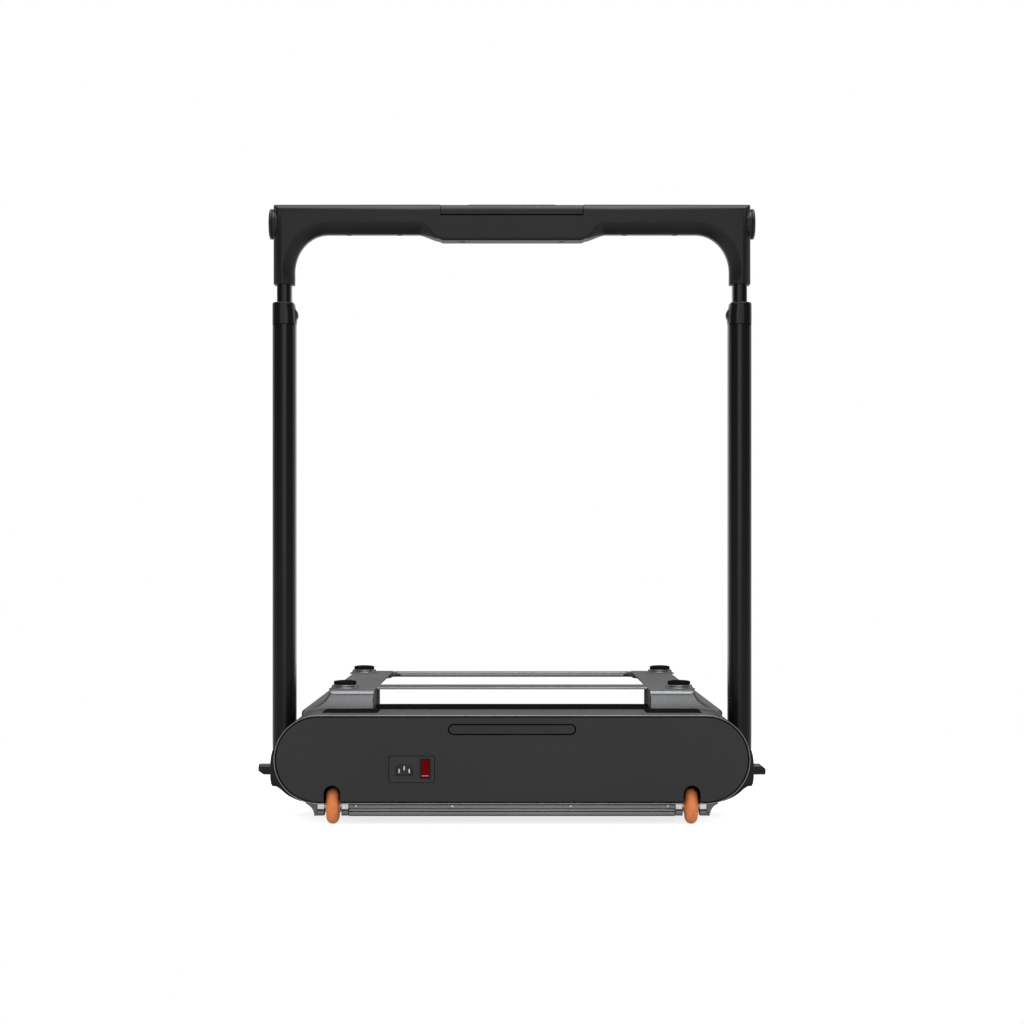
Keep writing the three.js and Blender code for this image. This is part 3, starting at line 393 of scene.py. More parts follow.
# ------------------------------------------------------------------ mesh helpers
class Outline:
    """A closed 2-D outline in metres, drawn with lines, arcs and curves. marks holds a radius per point."""

    def __init__(self, mark=0.0):
        self.points = []
        self.marks = []
        self.rounds = []
        self.mark = mark

    def to(self, u, v, rounding=0.0):
        if not self.points or math.dist(self.points[-1], (u, v)) > 1e-6:
            self.points.append((u, v))
            self.marks.append(self.mark)
            self.rounds.append(rounding)
        return self

    def reversed(self):
        made = Outline()
        made.points = self.points[::-1]
        made.marks = [pair(mark)[::-1] for mark in self.marks[::-1]]
        made.rounds = self.rounds[::-1]
        return made

    def area(self):
        ends = self.points[1:] + self.points[:1]
        return sum(a[0] * b[1] - b[0] * a[1] for a, b in zip(self.points, ends)) / 2

    def flipped(self, height):
        """The outline turned upside down about a height."""
        for i, (u, v) in enumerate(self.points):
            self.points[i] = (u, 2 * height - v)
        return self

    def arc(self, u, v, radius, start, end, steps=12):
        for i in range(steps + 1):
            angle = start + (end - start) * i / steps
            self.to(u + radius * math.cos(angle), v + radius * math.sin(angle))
        return self

    def curve(self, control, end, steps=16):
        u0, v0 = self.points[-1]
        for i in range(1, steps + 1):
            t = i / steps
            a, b, c = (1 - t) ** 2, 2 * t * (1 - t), t * t
            self.to(a * u0 + b * control[0] + c * end[0], a * v0 + b * control[1] + c * end[1])
        return self


def rounded_rect(u0, u1, v0, v1, radius, steps=8):
    made = Outline()
    made.arc(u1 - radius, v0 + radius, radius, -PI / 2, 0, steps)
    made.arc(u1 - radius, v1 - radius, radius, 0, PI / 2, steps)
    made.arc(u0 + radius, v1 - radius, radius, PI / 2, PI, steps)
    made.arc(u0 + radius, v0 + radius, radius, PI, 1.5 * PI, steps)
    return made


AXIS_FRAMES = {
    "x": Matrix(((0, 0, 1), (1, 0, 0), (0, 1, 0))),
    "y": Matrix(((1, 0, 0), (0, 0, -1), (0, 1, 0))),
    "z": Matrix.Identity(3),
}
AXIS_SIGN = {"x": 1, "y": -1, "z": 1}
SHARP_ANGLE = 40


def placed(name, data):
    """A new object of the mesh or curve, linked to the scene."""
    made = bpy.data.objects.new(name, data)
    bpy.context.scene.collection.objects.link(made)
    return made


def even_normals(target):
    """Shades the target's broad faces flat while its sharp corners stay sharp."""
    target.modifiers.new("even_normals", "WEIGHTED_NORMAL").keep_sharp = True


def baked(source):
    """The mesh of an object with its modifiers applied, or of a curve."""
    bpy.context.view_layer.update()
    depsgraph = bpy.context.evaluated_depsgraph_get()
    return bpy.data.meshes.new_from_object(source.evaluated_get(depsgraph))


def finished(name, mesh, finish, smooth=SHARP_ANGLE, weighted=True):
    """An object of the mesh, with its finish, smooth faces and sharp corners kept."""
    for polygon in mesh.polygons:
        polygon.use_smooth = True
    mesh.set_sharp_from_angle(angle=math.radians(smooth))
    mesh.materials.clear()
    mesh.materials.append(FINISHES[finish])
    made = placed(name, mesh)
    if weighted:
        even_normals(made)
    return made


def from_bmesh(name, work, finish, **options):
    bmesh.ops.remove_doubles(work, verts=work.verts, dist=1e-6)
    bmesh.ops.recalc_face_normals(work, faces=work.faces)
    mesh = bpy.data.meshes.new(name)
    work.to_mesh(mesh)
    work.free()
    return finished(name, mesh, finish, **options)


def loft(work, rings, close=True):
    """Quads between rings of equally many points, with both end rings capped."""
    rows = [[work.verts.new(point) for point in ring] for ring in rings]
    count = len(rows[0])
    for below, above in zip(rows, rows[1:]):
        for i in range(count):
            j = (i + 1) % count
            work.faces.new((below[i], below[j], above[j], above[i]))
    if close:
        work.faces.new(list(reversed(rows[0])))
        work.faces.new(rows[-1])
    return rows


def pair(mark):
    """A mark as its distances before and after the point."""
    return mark if isinstance(mark, tuple) else (mark, mark)


def inset_points(points, marks):
    """The points moved into a counter-clockwise outline by the distances before and after them."""
    count = len(points)
    moved = []
    for i, (u, v) in enumerate(points):
        before, after = marks[i]
        a = Vector((points[i - 1][1] - v, u - points[i - 1][0])).normalized()
        b = Vector((v - points[(i + 1) % count][1], points[(i + 1) % count][0] - u)).normalized()
        turn = a.x * b.y - a.y * b.x
        if abs(turn) > 0.3:
            du = (before * b.y - after * a.y) / turn
            dv = (a.x * after - b.x * before) / turn
        else:
            middle = (a + b).normalized()
            du, dv = middle * ((before + after) / 2 / max(0.5, middle.dot(a)))
        moved.append((u + du, v + dv))
    return moved


def corner_points(outline):
    """For each point of the outline, the steps of its rounded corner measured from the point."""
    steps = 4
    corners = []
    count = len(outline.points)
    for i, rounding in enumerate(outline.rounds):
        if not rounding:
            corners.append([Vector((0, 0))])
            continue
        here = Vector(outline.points[i])
        start = (Vector(outline.points[i - 1]) - here).normalized() * rounding
        end = (Vector(outline.points[(i + 1) % count]) - here).normalized() * rounding
        corners.append([start * (1 - t / steps) ** 2 + end * (t / steps) ** 2 for t in range(steps + 1)])
    return corners


def edge_path(mark, t):
    """Inset and depth of an edge at t: a quarter round, flatter where the edge is broad."""
    broad = min(1.0, max(0.0, (mark - 9 * MM) / (5 * MM)))
    lead = 0.448 + 0.33 * broad
    return (1 - t) ** 3 + 3 * (1 - t) ** 2 * t * lead, t ** 3 + 3 * (1 - t) * t * t * lead


def pillow(work, outline, axis, low, high, edge=None, steps=4, stations=()):
    """A prism with its end edges rounded: edge in metres, or each point's own mark.

    stations are further outlines along it, of as many points; the last one ends it.
    """
    ends = [outline, stations[-1][1] if stations else outline]
    if outline.area() < 0:
        ends = [end.reversed() for end in ends]
        stations = [(depth, middle.reversed()) for depth, middle in stations]
    turn = AXIS_FRAMES[axis]
    sign = AXIS_SIGN[axis]
    levels = [(low, 1, i / steps, ends[0]) for i in range(steps + 1)]
    levels += [(depth, 0, 1.0, middle) for depth, middle in stations]
    levels += [(high, -1, i / steps, ends[1]) for i in range(steps, -1, -1)]
    rings = []
    for base, direction, t, shape in levels:
        marks = [pair(mark if edge is None else edge) for mark in shape.marks]
        corners = corner_points(shape)
        shifts = [tuple(item * edge_path(item, t)[0] for item in mark) for mark in marks]
        ring = []
        for i, (u, v) in enumerate(inset_points(shape.points, shifts)):
            depth = base + direction * max(marks[i]) * edge_path(max(marks[i]), t)[1]
            rounding = shape.rounds[i]
            shrink = max(0.0, 1 - max(shifts[i]) / rounding) if rounding else 0.0
            for offset in corners[i]:
                ring.append(turn @ Vector((u + offset.x * shrink, v + offset.y * shrink, sign * depth)))
        rings.append(ring)
    loft(work, rings)


def prism(name, outline, axis, low, high, edge, finish, steps=4, stations=(), **options):
    work = bmesh.new()
    pillow(work, outline, axis, low, high, edge, steps, stations)
    return from_bmesh(name, work, finish, **options)


def pierced(name, outline, holes, axis, low, high, edge, finish, steps=3, **options):
    """A plate with holes, its edges rounded, filled by a 2-D curve."""
    curve = bpy.data.curves.new(name, "CURVE")
    curve.dimensions = "2D"
    curve.fill_mode = "BOTH"
    curve.extrude = (high - low) / 2 - edge
    curve.bevel_depth = edge
    curve.bevel_resolution = steps
    curve.offset = -edge
    for index, ring in enumerate([outline, *holes]):
        points = ring.points
        if (ring.area() > 0) != (index == 0):
            points = points[::-1]
        spline = curve.splines.new("POLY")
        spline.points.add(len(points) - 1)
        for place, (u, v) in zip(spline.points, points):
            place.co = (u, v, 0, 1)
        spline.use_cyclic_u = True
    holder = placed(name, curve)
    mesh = baked(holder)
    bpy.data.objects.remove(holder)
    turn = AXIS_FRAMES[axis].to_4x4()
    lift = Matrix.Translation(AXIS_FRAMES[axis] @ Vector((0, 0, AXIS_SIGN[axis] * (low + high) / 2)))
    mesh.transform(lift @ turn)
    work = bmesh.new()
    work.from_mesh(mesh)
    bpy.data.meshes.remove(mesh)
    return from_bmesh(name, work, finish, **options)


def turned(work, profile, centre, axis="x", steps=64):
    """A turned solid: pairs of (radius, place along the axis), from axis to axis."""
    rings = []
    for radius, along in profile:
        ring = []
        for i in range(steps):
            angle = 2 * PI * i / steps
            side, up = max(radius, 1e-5) * math.cos(angle), max(radius, 1e-5) * math.sin(angle)
            point = {"x": (along, side, up), "y": (up, along, side), "z": (side, up, along)}[axis]
            ring.append(Vector(point) + Vector(centre))
        rings.append(ring)
    loft(work, rings)


def soften(profile, radius, steps=4):
    """The profile with each inner corner rounded by at most the radius."""
    softened = [profile[0]]
    for before, here, after in zip(profile, profile[1:], profile[2:]):
        a, b, c = Vector(before), Vector(here), Vector(after)
        reach = min(radius, (a - b).length * 0.45, (c - b).length * 0.45)
        start = b + (a - b).normalized() * reach
        end = b + (c - b).normalized() * reach
        for i in range(steps + 1):
            t = i / steps
            softened.append(tuple((1 - t) ** 2 * start + 2 * t * (1 - t) * b + t * t * end))
    softened.append(profile[-1])
    return softened


def turned_piece(name, profile, centre, axis, finish, rounding=0.0008, steps=64, **options):
    work = bmesh.new()
    turned(work, soften(profile, rounding), centre, axis, steps)
    return from_bmesh(name, work, finish, **options)


def join(name, pieces):
    """The pieces as one object, each keeping its finish."""
    work = bmesh.new()
    materials = []
    for piece in pieces:
        mesh = piece.data
        material = mesh.materials[0]
        if material not in materials:
            materials.append(material)
        index = materials.index(material)
        start = len(work.faces)
        work.from_mesh(mesh)
        work.faces.ensure_lookup_table()
        for face in work.faces[start:]:
            face.material_index = index
    merged = bpy.data.meshes.new(name)
    work.to_mesh(merged)
    work.free()
    for material in materials:
        merged.materials.append(material)
    for piece in pieces:
        bpy.data.objects.remove(piece)
    made = placed(name, merged)
    even_normals(made)
    return made


def cut(target, *tools):
    """Cuts the tools' shapes out of the target."""
    for tool in tools:
        modifier = target.modifiers.new("cut", "BOOLEAN")
        modifier.operation = "DIFFERENCE"
        modifier.solver = "EXACT"
        modifier.object = tool
    shaped = baked(target)
    target.modifiers.clear()
    target.data = shaped
    for tool in tools:
        bpy.data.objects.remove(tool)
    shaped.set_sharp_from_angle(angle=math.radians(SHARP_ANGLE))
    even_normals(target)
    return target


def bevelled(target, width):
    """Rounds the target's sharp edges in its mesh."""
    target.modifiers.clear()
    modifier = target.modifiers.new("soft_edges", "BEVEL")
    modifier.width = width
    modifier.segments = 3
    modifier.limit_method = "ANGLE"
    modifier.angle_limit = math.radians(35)
    shaped = baked(target)
    target.modifiers.clear()
    target.data = shaped
    return target


def sliced(target, heights, y_end):
    """Level edge loops cut into the part of a piece before y_end."""
    work = bmesh.new()
    work.from_mesh(target.data)
    for height in heights:
        near = [face for face in work.faces if face.calc_center_bounds().y < y_end]
        parts = list({item for face in near for item in (*face.verts, *face.edges)}) + near
        bmesh.ops.bisect_plane(work, geom=parts, dist=1e-6, plane_co=(0, 0, height), plane_no=(0, 0, 1))
    work.to_mesh(target.data)
    work.free()


def mirrored(name, source):
    """A mirror image of a piece across x = 0."""
    copy = source.data.copy()
    copy.transform(Matrix.Diagonal((-1, 1, 1)).to_4x4())
    copy.flip_normals()
    made = placed(name, copy)
    if source.modifiers:
        even_normals(made)
    return made


def hung(piece, body, slot, *nodes):
    """The piece rides on its body and stands for the nodes, which it hides. slot is not used."""
    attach(piece, body)
    if nodes:
        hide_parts(*nodes)
    return piece


# ------------------------------------------------------------------ places taken from the frame
def low(node):
    """The lower corner of a node's box."""
    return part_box(node)[0]


def high(node):
    """The upper corner of a node's box."""
    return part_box(node)[1]


PANEL_Y = low("front_panel").y
HOOD_BACK = high("hood_shell").y
HOOD_HALF = high("hood_shell").x
HOOD_LOW, HOOD_HIGH = low("hood_shell").z, high("hood_shell").z
HOOD_MID = (HOOD_LOW + HOOD_HIGH) / 2
HOOD_RADIUS = (HOOD_HIGH - HOOD_LOW) / 2
WHEEL_X = (low("wheel_right").x + high("wheel_right").x) / 2
WHEEL_Y = (low("wheel_right").y + high("wheel_right").y) / 2
WHEEL_RADIUS = (high("wheel_right").z - low("wheel_right").z) / 2
ARCH_HALF = 11.7 * MM
ARCH_TOP = 54.6 * MM
ARCH_DEPTH = 58 * MM
FRAME_INNER = high("rear_deck_board").x + 0.3 * MM
FRAME_OUTER = high("rear_frame_right").x
FRAME_LOW = low("front_crossbar").z
FRAME_TOP = 93.2 * MM
REAR_LIP = high("rear_belt").x + 2 * MM
FOLD_Z = (low("fold_pin_right").z + high("fold_pin_right").z) / 2
FOLD_Y = (low("fold_pin_right").y + high("fold_pin_right").y) / 2
POST_X = (low("post_right").x + high("post_right").x) / 2
POST_HALF_X = (high("post_right").x - low("post_right").x) / 2
POST_Y = (low("post_right").y + high("post_right").y) / 2
POST_HALF_Y = (high("post_right").y - low("post_right").y) / 2
PIVOT_Z = low("post_right").z + POST_HALF_Y
HANDLE_LOW, HANDLE_HIGH = low("handlebar").z, high("handlebar").z
SLEEVE_HALF = 14.8 * MM
PAST = 10 * MM              # how far a cutting shape reaches past what it cuts


def stadium(inset):
    """The housing's section, an obround, drawn in by the inset."""
    made = Outline()
    radius = HOOD_RADIUS - inset
    made.arc(HOOD_HALF - HOOD_RADIUS, HOOD_MID, radius, -PI / 2, PI / 2, 40)
    made.arc(-HOOD_HALF + HOOD_RADIUS, HOOD_MID, radius, PI / 2, 1.5 * PI, 40)
    return made


def arch_tools(y0, y1):
    """The two wheel arches as cutting shapes, from below the floor up."""
    tools = []
    for name, side in SIDES:
        made = Outline()
        made.to(side * WHEEL_X + ARCH_HALF, -20 * MM)
        made.arc(side * WHEEL_X, ARCH_TOP - ARCH_HALF, ARCH_HALF, 0, PI, 24)
        made.to(side * WHEEL_X - ARCH_HALF, -20 * MM)
        tools.append(prism("arch_" + name, made, "y", y0, y1, 0.0, "shadow_gap", 1, weighted=False))
    return tools


# ------------------------------------------------------------------ end housing and inlet
def housing_shell():
    """The housing's tube, and the wall at its back with an opening for the deck."""
    shell = pierced("end_shell", stadium(0), [stadium(3 * MM)], "y", PANEL_Y + 3.3 * MM, HOOD_BACK,
                    0.8 * MM, "shell_grey")
    shell = cut(shell, *arch_tools(PANEL_Y - PAST, PANEL_Y + ARCH_DEPTH))
    back = pierced("end_back", stadium(2.6 * MM),
                   [rounded_rect(-207 * MM, 207 * MM, 32.6 * MM, 97 * MM, 2 * MM)], "y",
                   HOOD_BACK - 3 * MM, HOOD_BACK - 0.2 * MM, 0.4 * MM, "shell_grey")
    hung(join("end_shell_skin", [shell, back]), "base", "shell_grey", "hood_shell")


def hood_shade_strips():
    """Dark rubber-finished strips on top of the housing, one at each side under a casting's end: painted
    shade.
    """
    shade_strips = []
    for _, side in SIDES:
        x0, x1 = sorted((side * 187 * MM, side * 264 * MM))
        shade_strips.append(prism("hood_shade_strip", rounded_rect(x0, x1, PANEL_Y + 56 * MM, HOOD_BACK - 1.5 * MM, 5 * MM),
                          "z", HOOD_HIGH - 1 * MM, HOOD_HIGH + 1.1 * MM, 0.6 * MM, "rubber_black", 3))
    hung(join("hood_painted_shade_strips", shade_strips), "base", "rubber_black")


def end_panel():
    """The flat panel with its hand grip and the window of the inlet plate."""
    grip_low, grip_high, grip_half = 123.6 * MM, 139 * MM, 88 * MM
    grip_end = (grip_high - grip_low) / 2 - 1e-5
    grip = rounded_rect(-grip_half, grip_half, grip_low, grip_high, grip_end, 14)
    inlet_low, inlet_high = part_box("inlet_housing")
    gap = 0.4 * MM
    window = rounded_rect(inlet_low.x - gap, inlet_high.x + gap, inlet_low.z - gap, inlet_high.z + gap,
                          2.6 * MM)
    panel = pierced("end_panel", stadium(3.3 * MM), [grip, window], "y", PANEL_Y, PANEL_Y + 4 * MM,
                    0.7 * MM, "panel_grey")
    panel = cut(panel, *arch_tools(PANEL_Y - PAST, PANEL_Y + PAST))
    # A near-black sheet behind the grip, seen round the grip pad: painted shade in the groove.
    grip_groove_shade = prism("grip_groove_shade", rounded_rect(-grip_half - 2 * MM, grip_half + 2 * MM,
                       grip_low - 2 * MM, grip_high + 2 * MM, 9 * MM), "y", PANEL_Y + 3.4 * MM,
                       PANEL_Y + 4 * MM, 0.0, "shadow_gap", 1)
    reveal = 1.8 * MM
    grip_pad = prism("grip_pad", rounded_rect(-grip_half + reveal, grip_half - reveal,
                     grip_low + reveal, grip_high - reveal, grip_end - reveal, 14), "y",
                     PANEL_Y + 1.1 * MM, PANEL_Y + 3.5 * MM, 0.5 * MM, "panel_grey", 3)
    hung(join("end_panel_skin", [panel, grip_groove_shade, grip_pad]), "base", "panel_grey", "front_panel")


def panel_trim():
    """The bright line round the panel, and inside it a near-black ring that is painted shade in the groove.
    """
    trim = pierced("panel_trim", stadium(0), [stadium(1.5 * MM)], "y", PANEL_Y, PANEL_Y + 3 * MM,
                   0.45 * MM, "trim_silver")
    trim = cut(trim, *arch_tools(PANEL_Y - PAST, PANEL_Y + PAST))
    hung(trim, "base", "polished", "front_trim")
    # A near-black ring in the groove between trim and panel: painted shade.
    groove_shade = pierced("panel_groove_shade", stadium(1.4 * MM), [stadium(3.5 * MM)], "y", PANEL_Y + 1.4 * MM,
                     PANEL_Y + 3.2 * MM, 0.1 * MM, "shadow_gap", 1)
    groove_shade = cut(groove_shade, *arch_tools(PANEL_Y - PAST, PANEL_Y + PAST))
    hung(groove_shade, "base", "dark_plastic")


def wheel_arch_liners():
    """A thin liner round each wheel arch, open below."""
    wall = 1.2 * MM
    bottom = HOOD_LOW + 0.5 * MM
    liners = []
    for _, side in SIDES:
        x = side * WHEEL_X
        rim = Outline()
        rim.to(x + ARCH_HALF + wall, bottom)
        rim.arc(x, ARCH_TOP - ARCH_HALF, ARCH_HALF + wall, 0, PI, 24)
        rim.to(x - ARCH_HALF - wall, bottom)
        rim.to(x - ARCH_HALF, bottom)
        rim.arc(x, ARCH_TOP - ARCH_HALF, ARCH_HALF - 0.05 * MM, PI, 0, 24)
        rim.to(x + ARCH_HALF, bottom)
        liners.append(prism("arch_liner", rim, "y", PANEL_Y + 1.2 * MM, PANEL_Y + ARCH_DEPTH, 0.1 * MM,
                            "dark_plastic", 1))
    hung(join("wheel_arch_liners", liners), "base", "dark_plastic")


def build_end_housing():
    housing_shell()
    hood_shade_strips()
    end_panel()
    panel_trim()
    wheel_arch_liners()


def socket_centre():
    """The middle of the inlet's socket, in x and z."""
    lo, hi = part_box("inlet_housing")
    pins_lo, pins_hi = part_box("inlet_contacts")
    return (pins_lo.x + pins_hi.x) / 2 + 3.6 * MM, (lo.z + hi.z) / 2 - 1.2 * MM


def inlet_plate():
    """The plate with the socket's opening, the rocker's well and a raised rim round each."""
    lo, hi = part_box("inlet_housing")
    rocker_lo, rocker_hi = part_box("power_rocker")
    middle, middle_z = socket_centre()
    half_x, half_z, cut_corner = 11.6 * MM, 8.0 * MM, 4 * MM
    socket = Outline()
    for u, v in ((-half_x, -half_z), (half_x, -half_z), (half_x, half_z - cut_corner),
                 (half_x - cut_corner, half_z), (-half_x + cut_corner, half_z),
                 (-half_x, half_z - cut_corner)):
        socket.to(middle + u, middle_z + v)
    gap = 0.5 * MM
    well = rounded_rect(rocker_lo.x - gap, rocker_hi.x + gap, rocker_lo.z - 0.8 * MM,
                        rocker_hi.z + 0.8 * MM, 1 * MM)
    plate = pierced("inlet_plate", rounded_rect(lo.x, hi.x, lo.z, hi.z, 2.5 * MM), [socket, well], "y",
                    lo.y, lo.y + 14 * MM, 0.6 * MM, "dark_plastic")
    back = prism("inlet_back", rounded_rect(lo.x + 1 * MM, hi.x - 1 * MM, lo.z + 1 * MM, hi.z - 1 * MM,
                 2 * MM), "y", lo.y + 4.5 * MM, hi.y, 0.6 * MM, "dark_plastic", 2)
    rims = []
    for ring, grow in ((socket, 1.3 * MM), (well, 1.2 * MM)):
        outer = Outline()
        outward = -grow if ring.area() > 0 else grow
        outer.points = inset_points(ring.points, [(outward, outward)] * len(ring.points))
        rims.append(pierced("inlet_rim", outer, [ring], "y", lo.y - 0.4 * MM, lo.y + 2 * MM,
                            0.3 * MM, "dark_plastic", 2))
    hung(join("inlet_module", [plate, back, *rims]), "base", "dark_plastic", "inlet_housing")


def contact_pins():
    """The three pins of the inlet, the earth pin above the other two."""
    lo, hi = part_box("inlet_contacts")
    face = low("inlet_housing").y
    middle, middle_z = socket_centre()
    pins = []
    for dx, dz in ((-7, -1), (0, 3), (7, -1)):
        x, z = middle + dx * MM, middle_z + dz * MM
        pins.append(prism("contact_pin", rounded_rect(x - 1 * MM, x + 1 * MM, z - 3 * MM, z + 3 * MM,
                    0.5 * MM, 4), "y", face + 1.5 * MM, hi.y, 0.4 * MM, "turned_steel", 3))
    base = prism("contact_base", rounded_rect(lo.x, hi.x, lo.z, hi.z, 1 * MM), "y",
                 hi.y - 3 * MM, hi.y, 0.2 * MM, "dark_plastic", 1)
    hung(join("contact_pins", [*pins, base]), "base", "steel", "inlet_contacts")


def power_rocker():
    """The rocker, its face hollowed to a shallow V, with a pale pink strip near its lower end that is a
    painted highlight.
    """
    lo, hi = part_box("power_rocker")
    face = Outline()
    face.to(lo.y + 0.3 * MM, lo.z + 1 * MM)
    face.to(lo.y + 0.5 * MM, lo.z + 1.9 * MM)
    face.to(lo.y + 1.9 * MM, lo.z + 3.2 * MM)
    middle = (lo.z + hi.z) / 2
    face.to(lo.y + 2.6 * MM, middle)
    face.to(lo.y + 0.7 * MM, hi.z - 1 * MM)
    face.to(lo.y + 1.6 * MM, hi.z)
    face.to(lo.y + 8 * MM, hi.z - 1 * MM)
    face.curve((hi.y, hi.z - 5 * MM), (hi.y, middle), 8)
    face.curve((hi.y, lo.z + 5 * MM), (lo.y + 8 * MM, lo.z + 1 * MM), 8)
    face.to(lo.y + 1.2 * MM, lo.z)
    fit = 0.93
    for i, (y, z) in enumerate(face.points):
        face.points[i] = (y, middle + (z - middle) * fit)
    slim = 0.8 * MM
    rocker = prism("rocker_cap", face, "x", lo.x + slim, hi.x - slim, 0.7 * MM, "rocker_red", 4,
                   smooth=25)
    # A pale pink strip near the lower end: a painted highlight on the rocker's lower edge.
    lip = prism("rocker_highlight_strip", rounded_rect(lo.x + 1.9 * MM, hi.x - 1.9 * MM, lo.z + 2.3 * MM,
                lo.z + 3.9 * MM, 0.7 * MM, 4), "y", lo.y + 0.5 * MM, lo.y + 3 * MM, 0.4 * MM,
                "rocker_highlight_paint", 2)
    hung(join("rocker_with_highlight_strip", [rocker, lip]), "power_rocker", "red", "power_rocker")


def build_inlet():
    inlet_plate()
    contact_pins()
    power_rocker()


# ------------------------------------------------------------------ side frames, foot strips and feet
PLAIN, HOLLOW, ROOTED = range(3)
FRAME_END = FOLD_Y - 9 * MM             # where the castings end beside the fold
ARM_SPLIT = FRAME_INNER + 53 * MM       # where a front hinge arm meets a rear one


def inner_wall(kind, lip_x):
    """The inner wall of a side frame from the landing to the sole: plain, hollow, or over a crossbar."""
    wall = FRAME_INNER + 24 * MM
    ledge = FRAME_TOP - 19 * MM
    if kind == PLAIN:
        return [(FRAME_INNER, ledge), (lip_x, ledge)] + [(lip_x, FRAME_LOW + 9 * MM)] * 4
    if kind == HOLLOW:
        lip = FRAME_LOW + 1.9 * MM
        return [(FRAME_INNER, ledge), (wall, ledge), (wall, lip), (lip_x + 11 * MM, lip),
                (lip_x + 6 * MM, lip), (lip_x, lip)]
    return [(FRAME_INNER, ledge), (wall, ledge), (wall, FRAME_LOW + 17 * MM),
            (lip_x + 11 * MM, FRAME_LOW + 11.6 * MM), (lip_x + 6 * MM, FRAME_LOW + 9.2 * MM),
            (lip_x, FRAME_LOW + 8.6 * MM)]


def frame_outline(edge, brow=None, turn_over=False, kind=PLAIN):
    """The section of a side frame, right side: narrow sole, concave flare and flat landing."""
    sole = FRAME_OUTER - 39 * MM
    corner = 5 * MM
    brow = brow or edge
    made = Outline(edge)
    made.to(FRAME_INNER, FRAME_TOP - 2 * MM)
    lip_x = REAR_LIP if turn_over else FRAME_INNER
    for u, v in inner_wall(kind, lip_x):
        made.points.append((u, v))
        made.marks.append(min(edge, 1.2 * MM))
        made.rounds.append(0.0)
    made.mark = (min(edge, 1.2 * MM), brow)
    made.to(lip_x, FRAME_LOW, 1.2 * MM)
    made.mark = brow
    made.to(sole - 16 * MM, FRAME_LOW)
    made.to(sole - 8 * MM, FRAME_LOW)
    for i in range(9):
        angle = -PI / 2 + PI * 7 / 16 * i / 8
        made.mark = brow + (edge - brow) * i / 8
        made.to(sole - corner + corner * math.cos(angle), FRAME_LOW + corner + corner * math.sin(angle))
    made.mark = edge
    made.curve((sole + 6 * MM, 33 * MM), (FRAME_OUTER - 5 * MM, 39 * MM), 18)
    made.curve((FRAME_OUTER, 40.5 * MM), (FRAME_OUTER, 46 * MM), 8)
    made.arc(FRAME_OUTER - corner, FRAME_TOP - corner, corner, 0, PI / 2, 8)
    made.arc(FRAME_INNER + 2 * MM, FRAME_TOP - 2 * MM, 2 * MM, PI / 2, PI, 4)
    return made.flipped(FOLD_Z) if turn_over else made


def foot_boss(work, x, y, z_sign, base):
    """A raised round boss with a soft brow and a fillet, for a foot."""
    profile = [(0.0, 5.4 * MM), (18.0 * MM, 5.4 * MM), (18.9 * MM, 4.6 * MM), (19.3 * MM, 3.0 * MM),
               (19.9 * MM, 1.4 * MM), (21.4 * MM, 0.4 * MM), (23.6 * MM, 0.0), (23.0 * MM, -2 * MM),
               (0.0, -2 * MM)]
    turned(work, soften([(r, base + z_sign * h) for r, h in profile], 1.0 * MM, 3), (x, y, 0.0), "z", 56)


def hinge_arm(name, x0, x1, turn_over):
    """An arm from a casting's end to the fold's pin, round at its tip."""
    arm = Outline()
    end = high("front_fold_bar").y + 17 * MM
    heel = FOLD_Z - 17 * MM
    arm.to(end - 8 * MM, FRAME_TOP)
    arm.to(end - 8 * MM, heel)
    arm.to(end, heel)
    arm.arc(FOLD_Y, FOLD_Z, 7 * MM, -PI / 3, PI * 0.92, 24)
    arm.to(end, FRAME_TOP)
    if turn_over:
        arm.flipped(FOLD_Z)
    return prism(name, arm, "x", x0, x1, 0.8 * MM, "casting_silver", 3)


def frame_stations(turn_over):
    """The outlines along a side frame behind its plain corner block."""
    near, far = low("rear_frame_right").y + 181 * MM, high("front_fold_bar").y - 56 * MM
    thin = 0.4 * MM
    kinds = ((near, PLAIN), (near + 0.05 * MM, HOLLOW), (far, HOLLOW), (far + 0.05 * MM, ROOTED),
             (FRAME_END - thin, ROOTED))
    return [(place, frame_outline(thin, thin, turn_over, kind)) for place, kind in kinds]


def foot_bosses(half, z_sign, base):
    """The bosses of a half's two right feet."""
    bosses = bmesh.new()
    for end in ("near", "far"):
        lo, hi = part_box(f"{half}_foot_{end}_right")
        foot_boss(bosses, (lo.x + hi.x) / 2, (lo.y + hi.y) / 2, z_sign, base)
    return from_bmesh(half + "_bosses", bosses, "casting_silver")


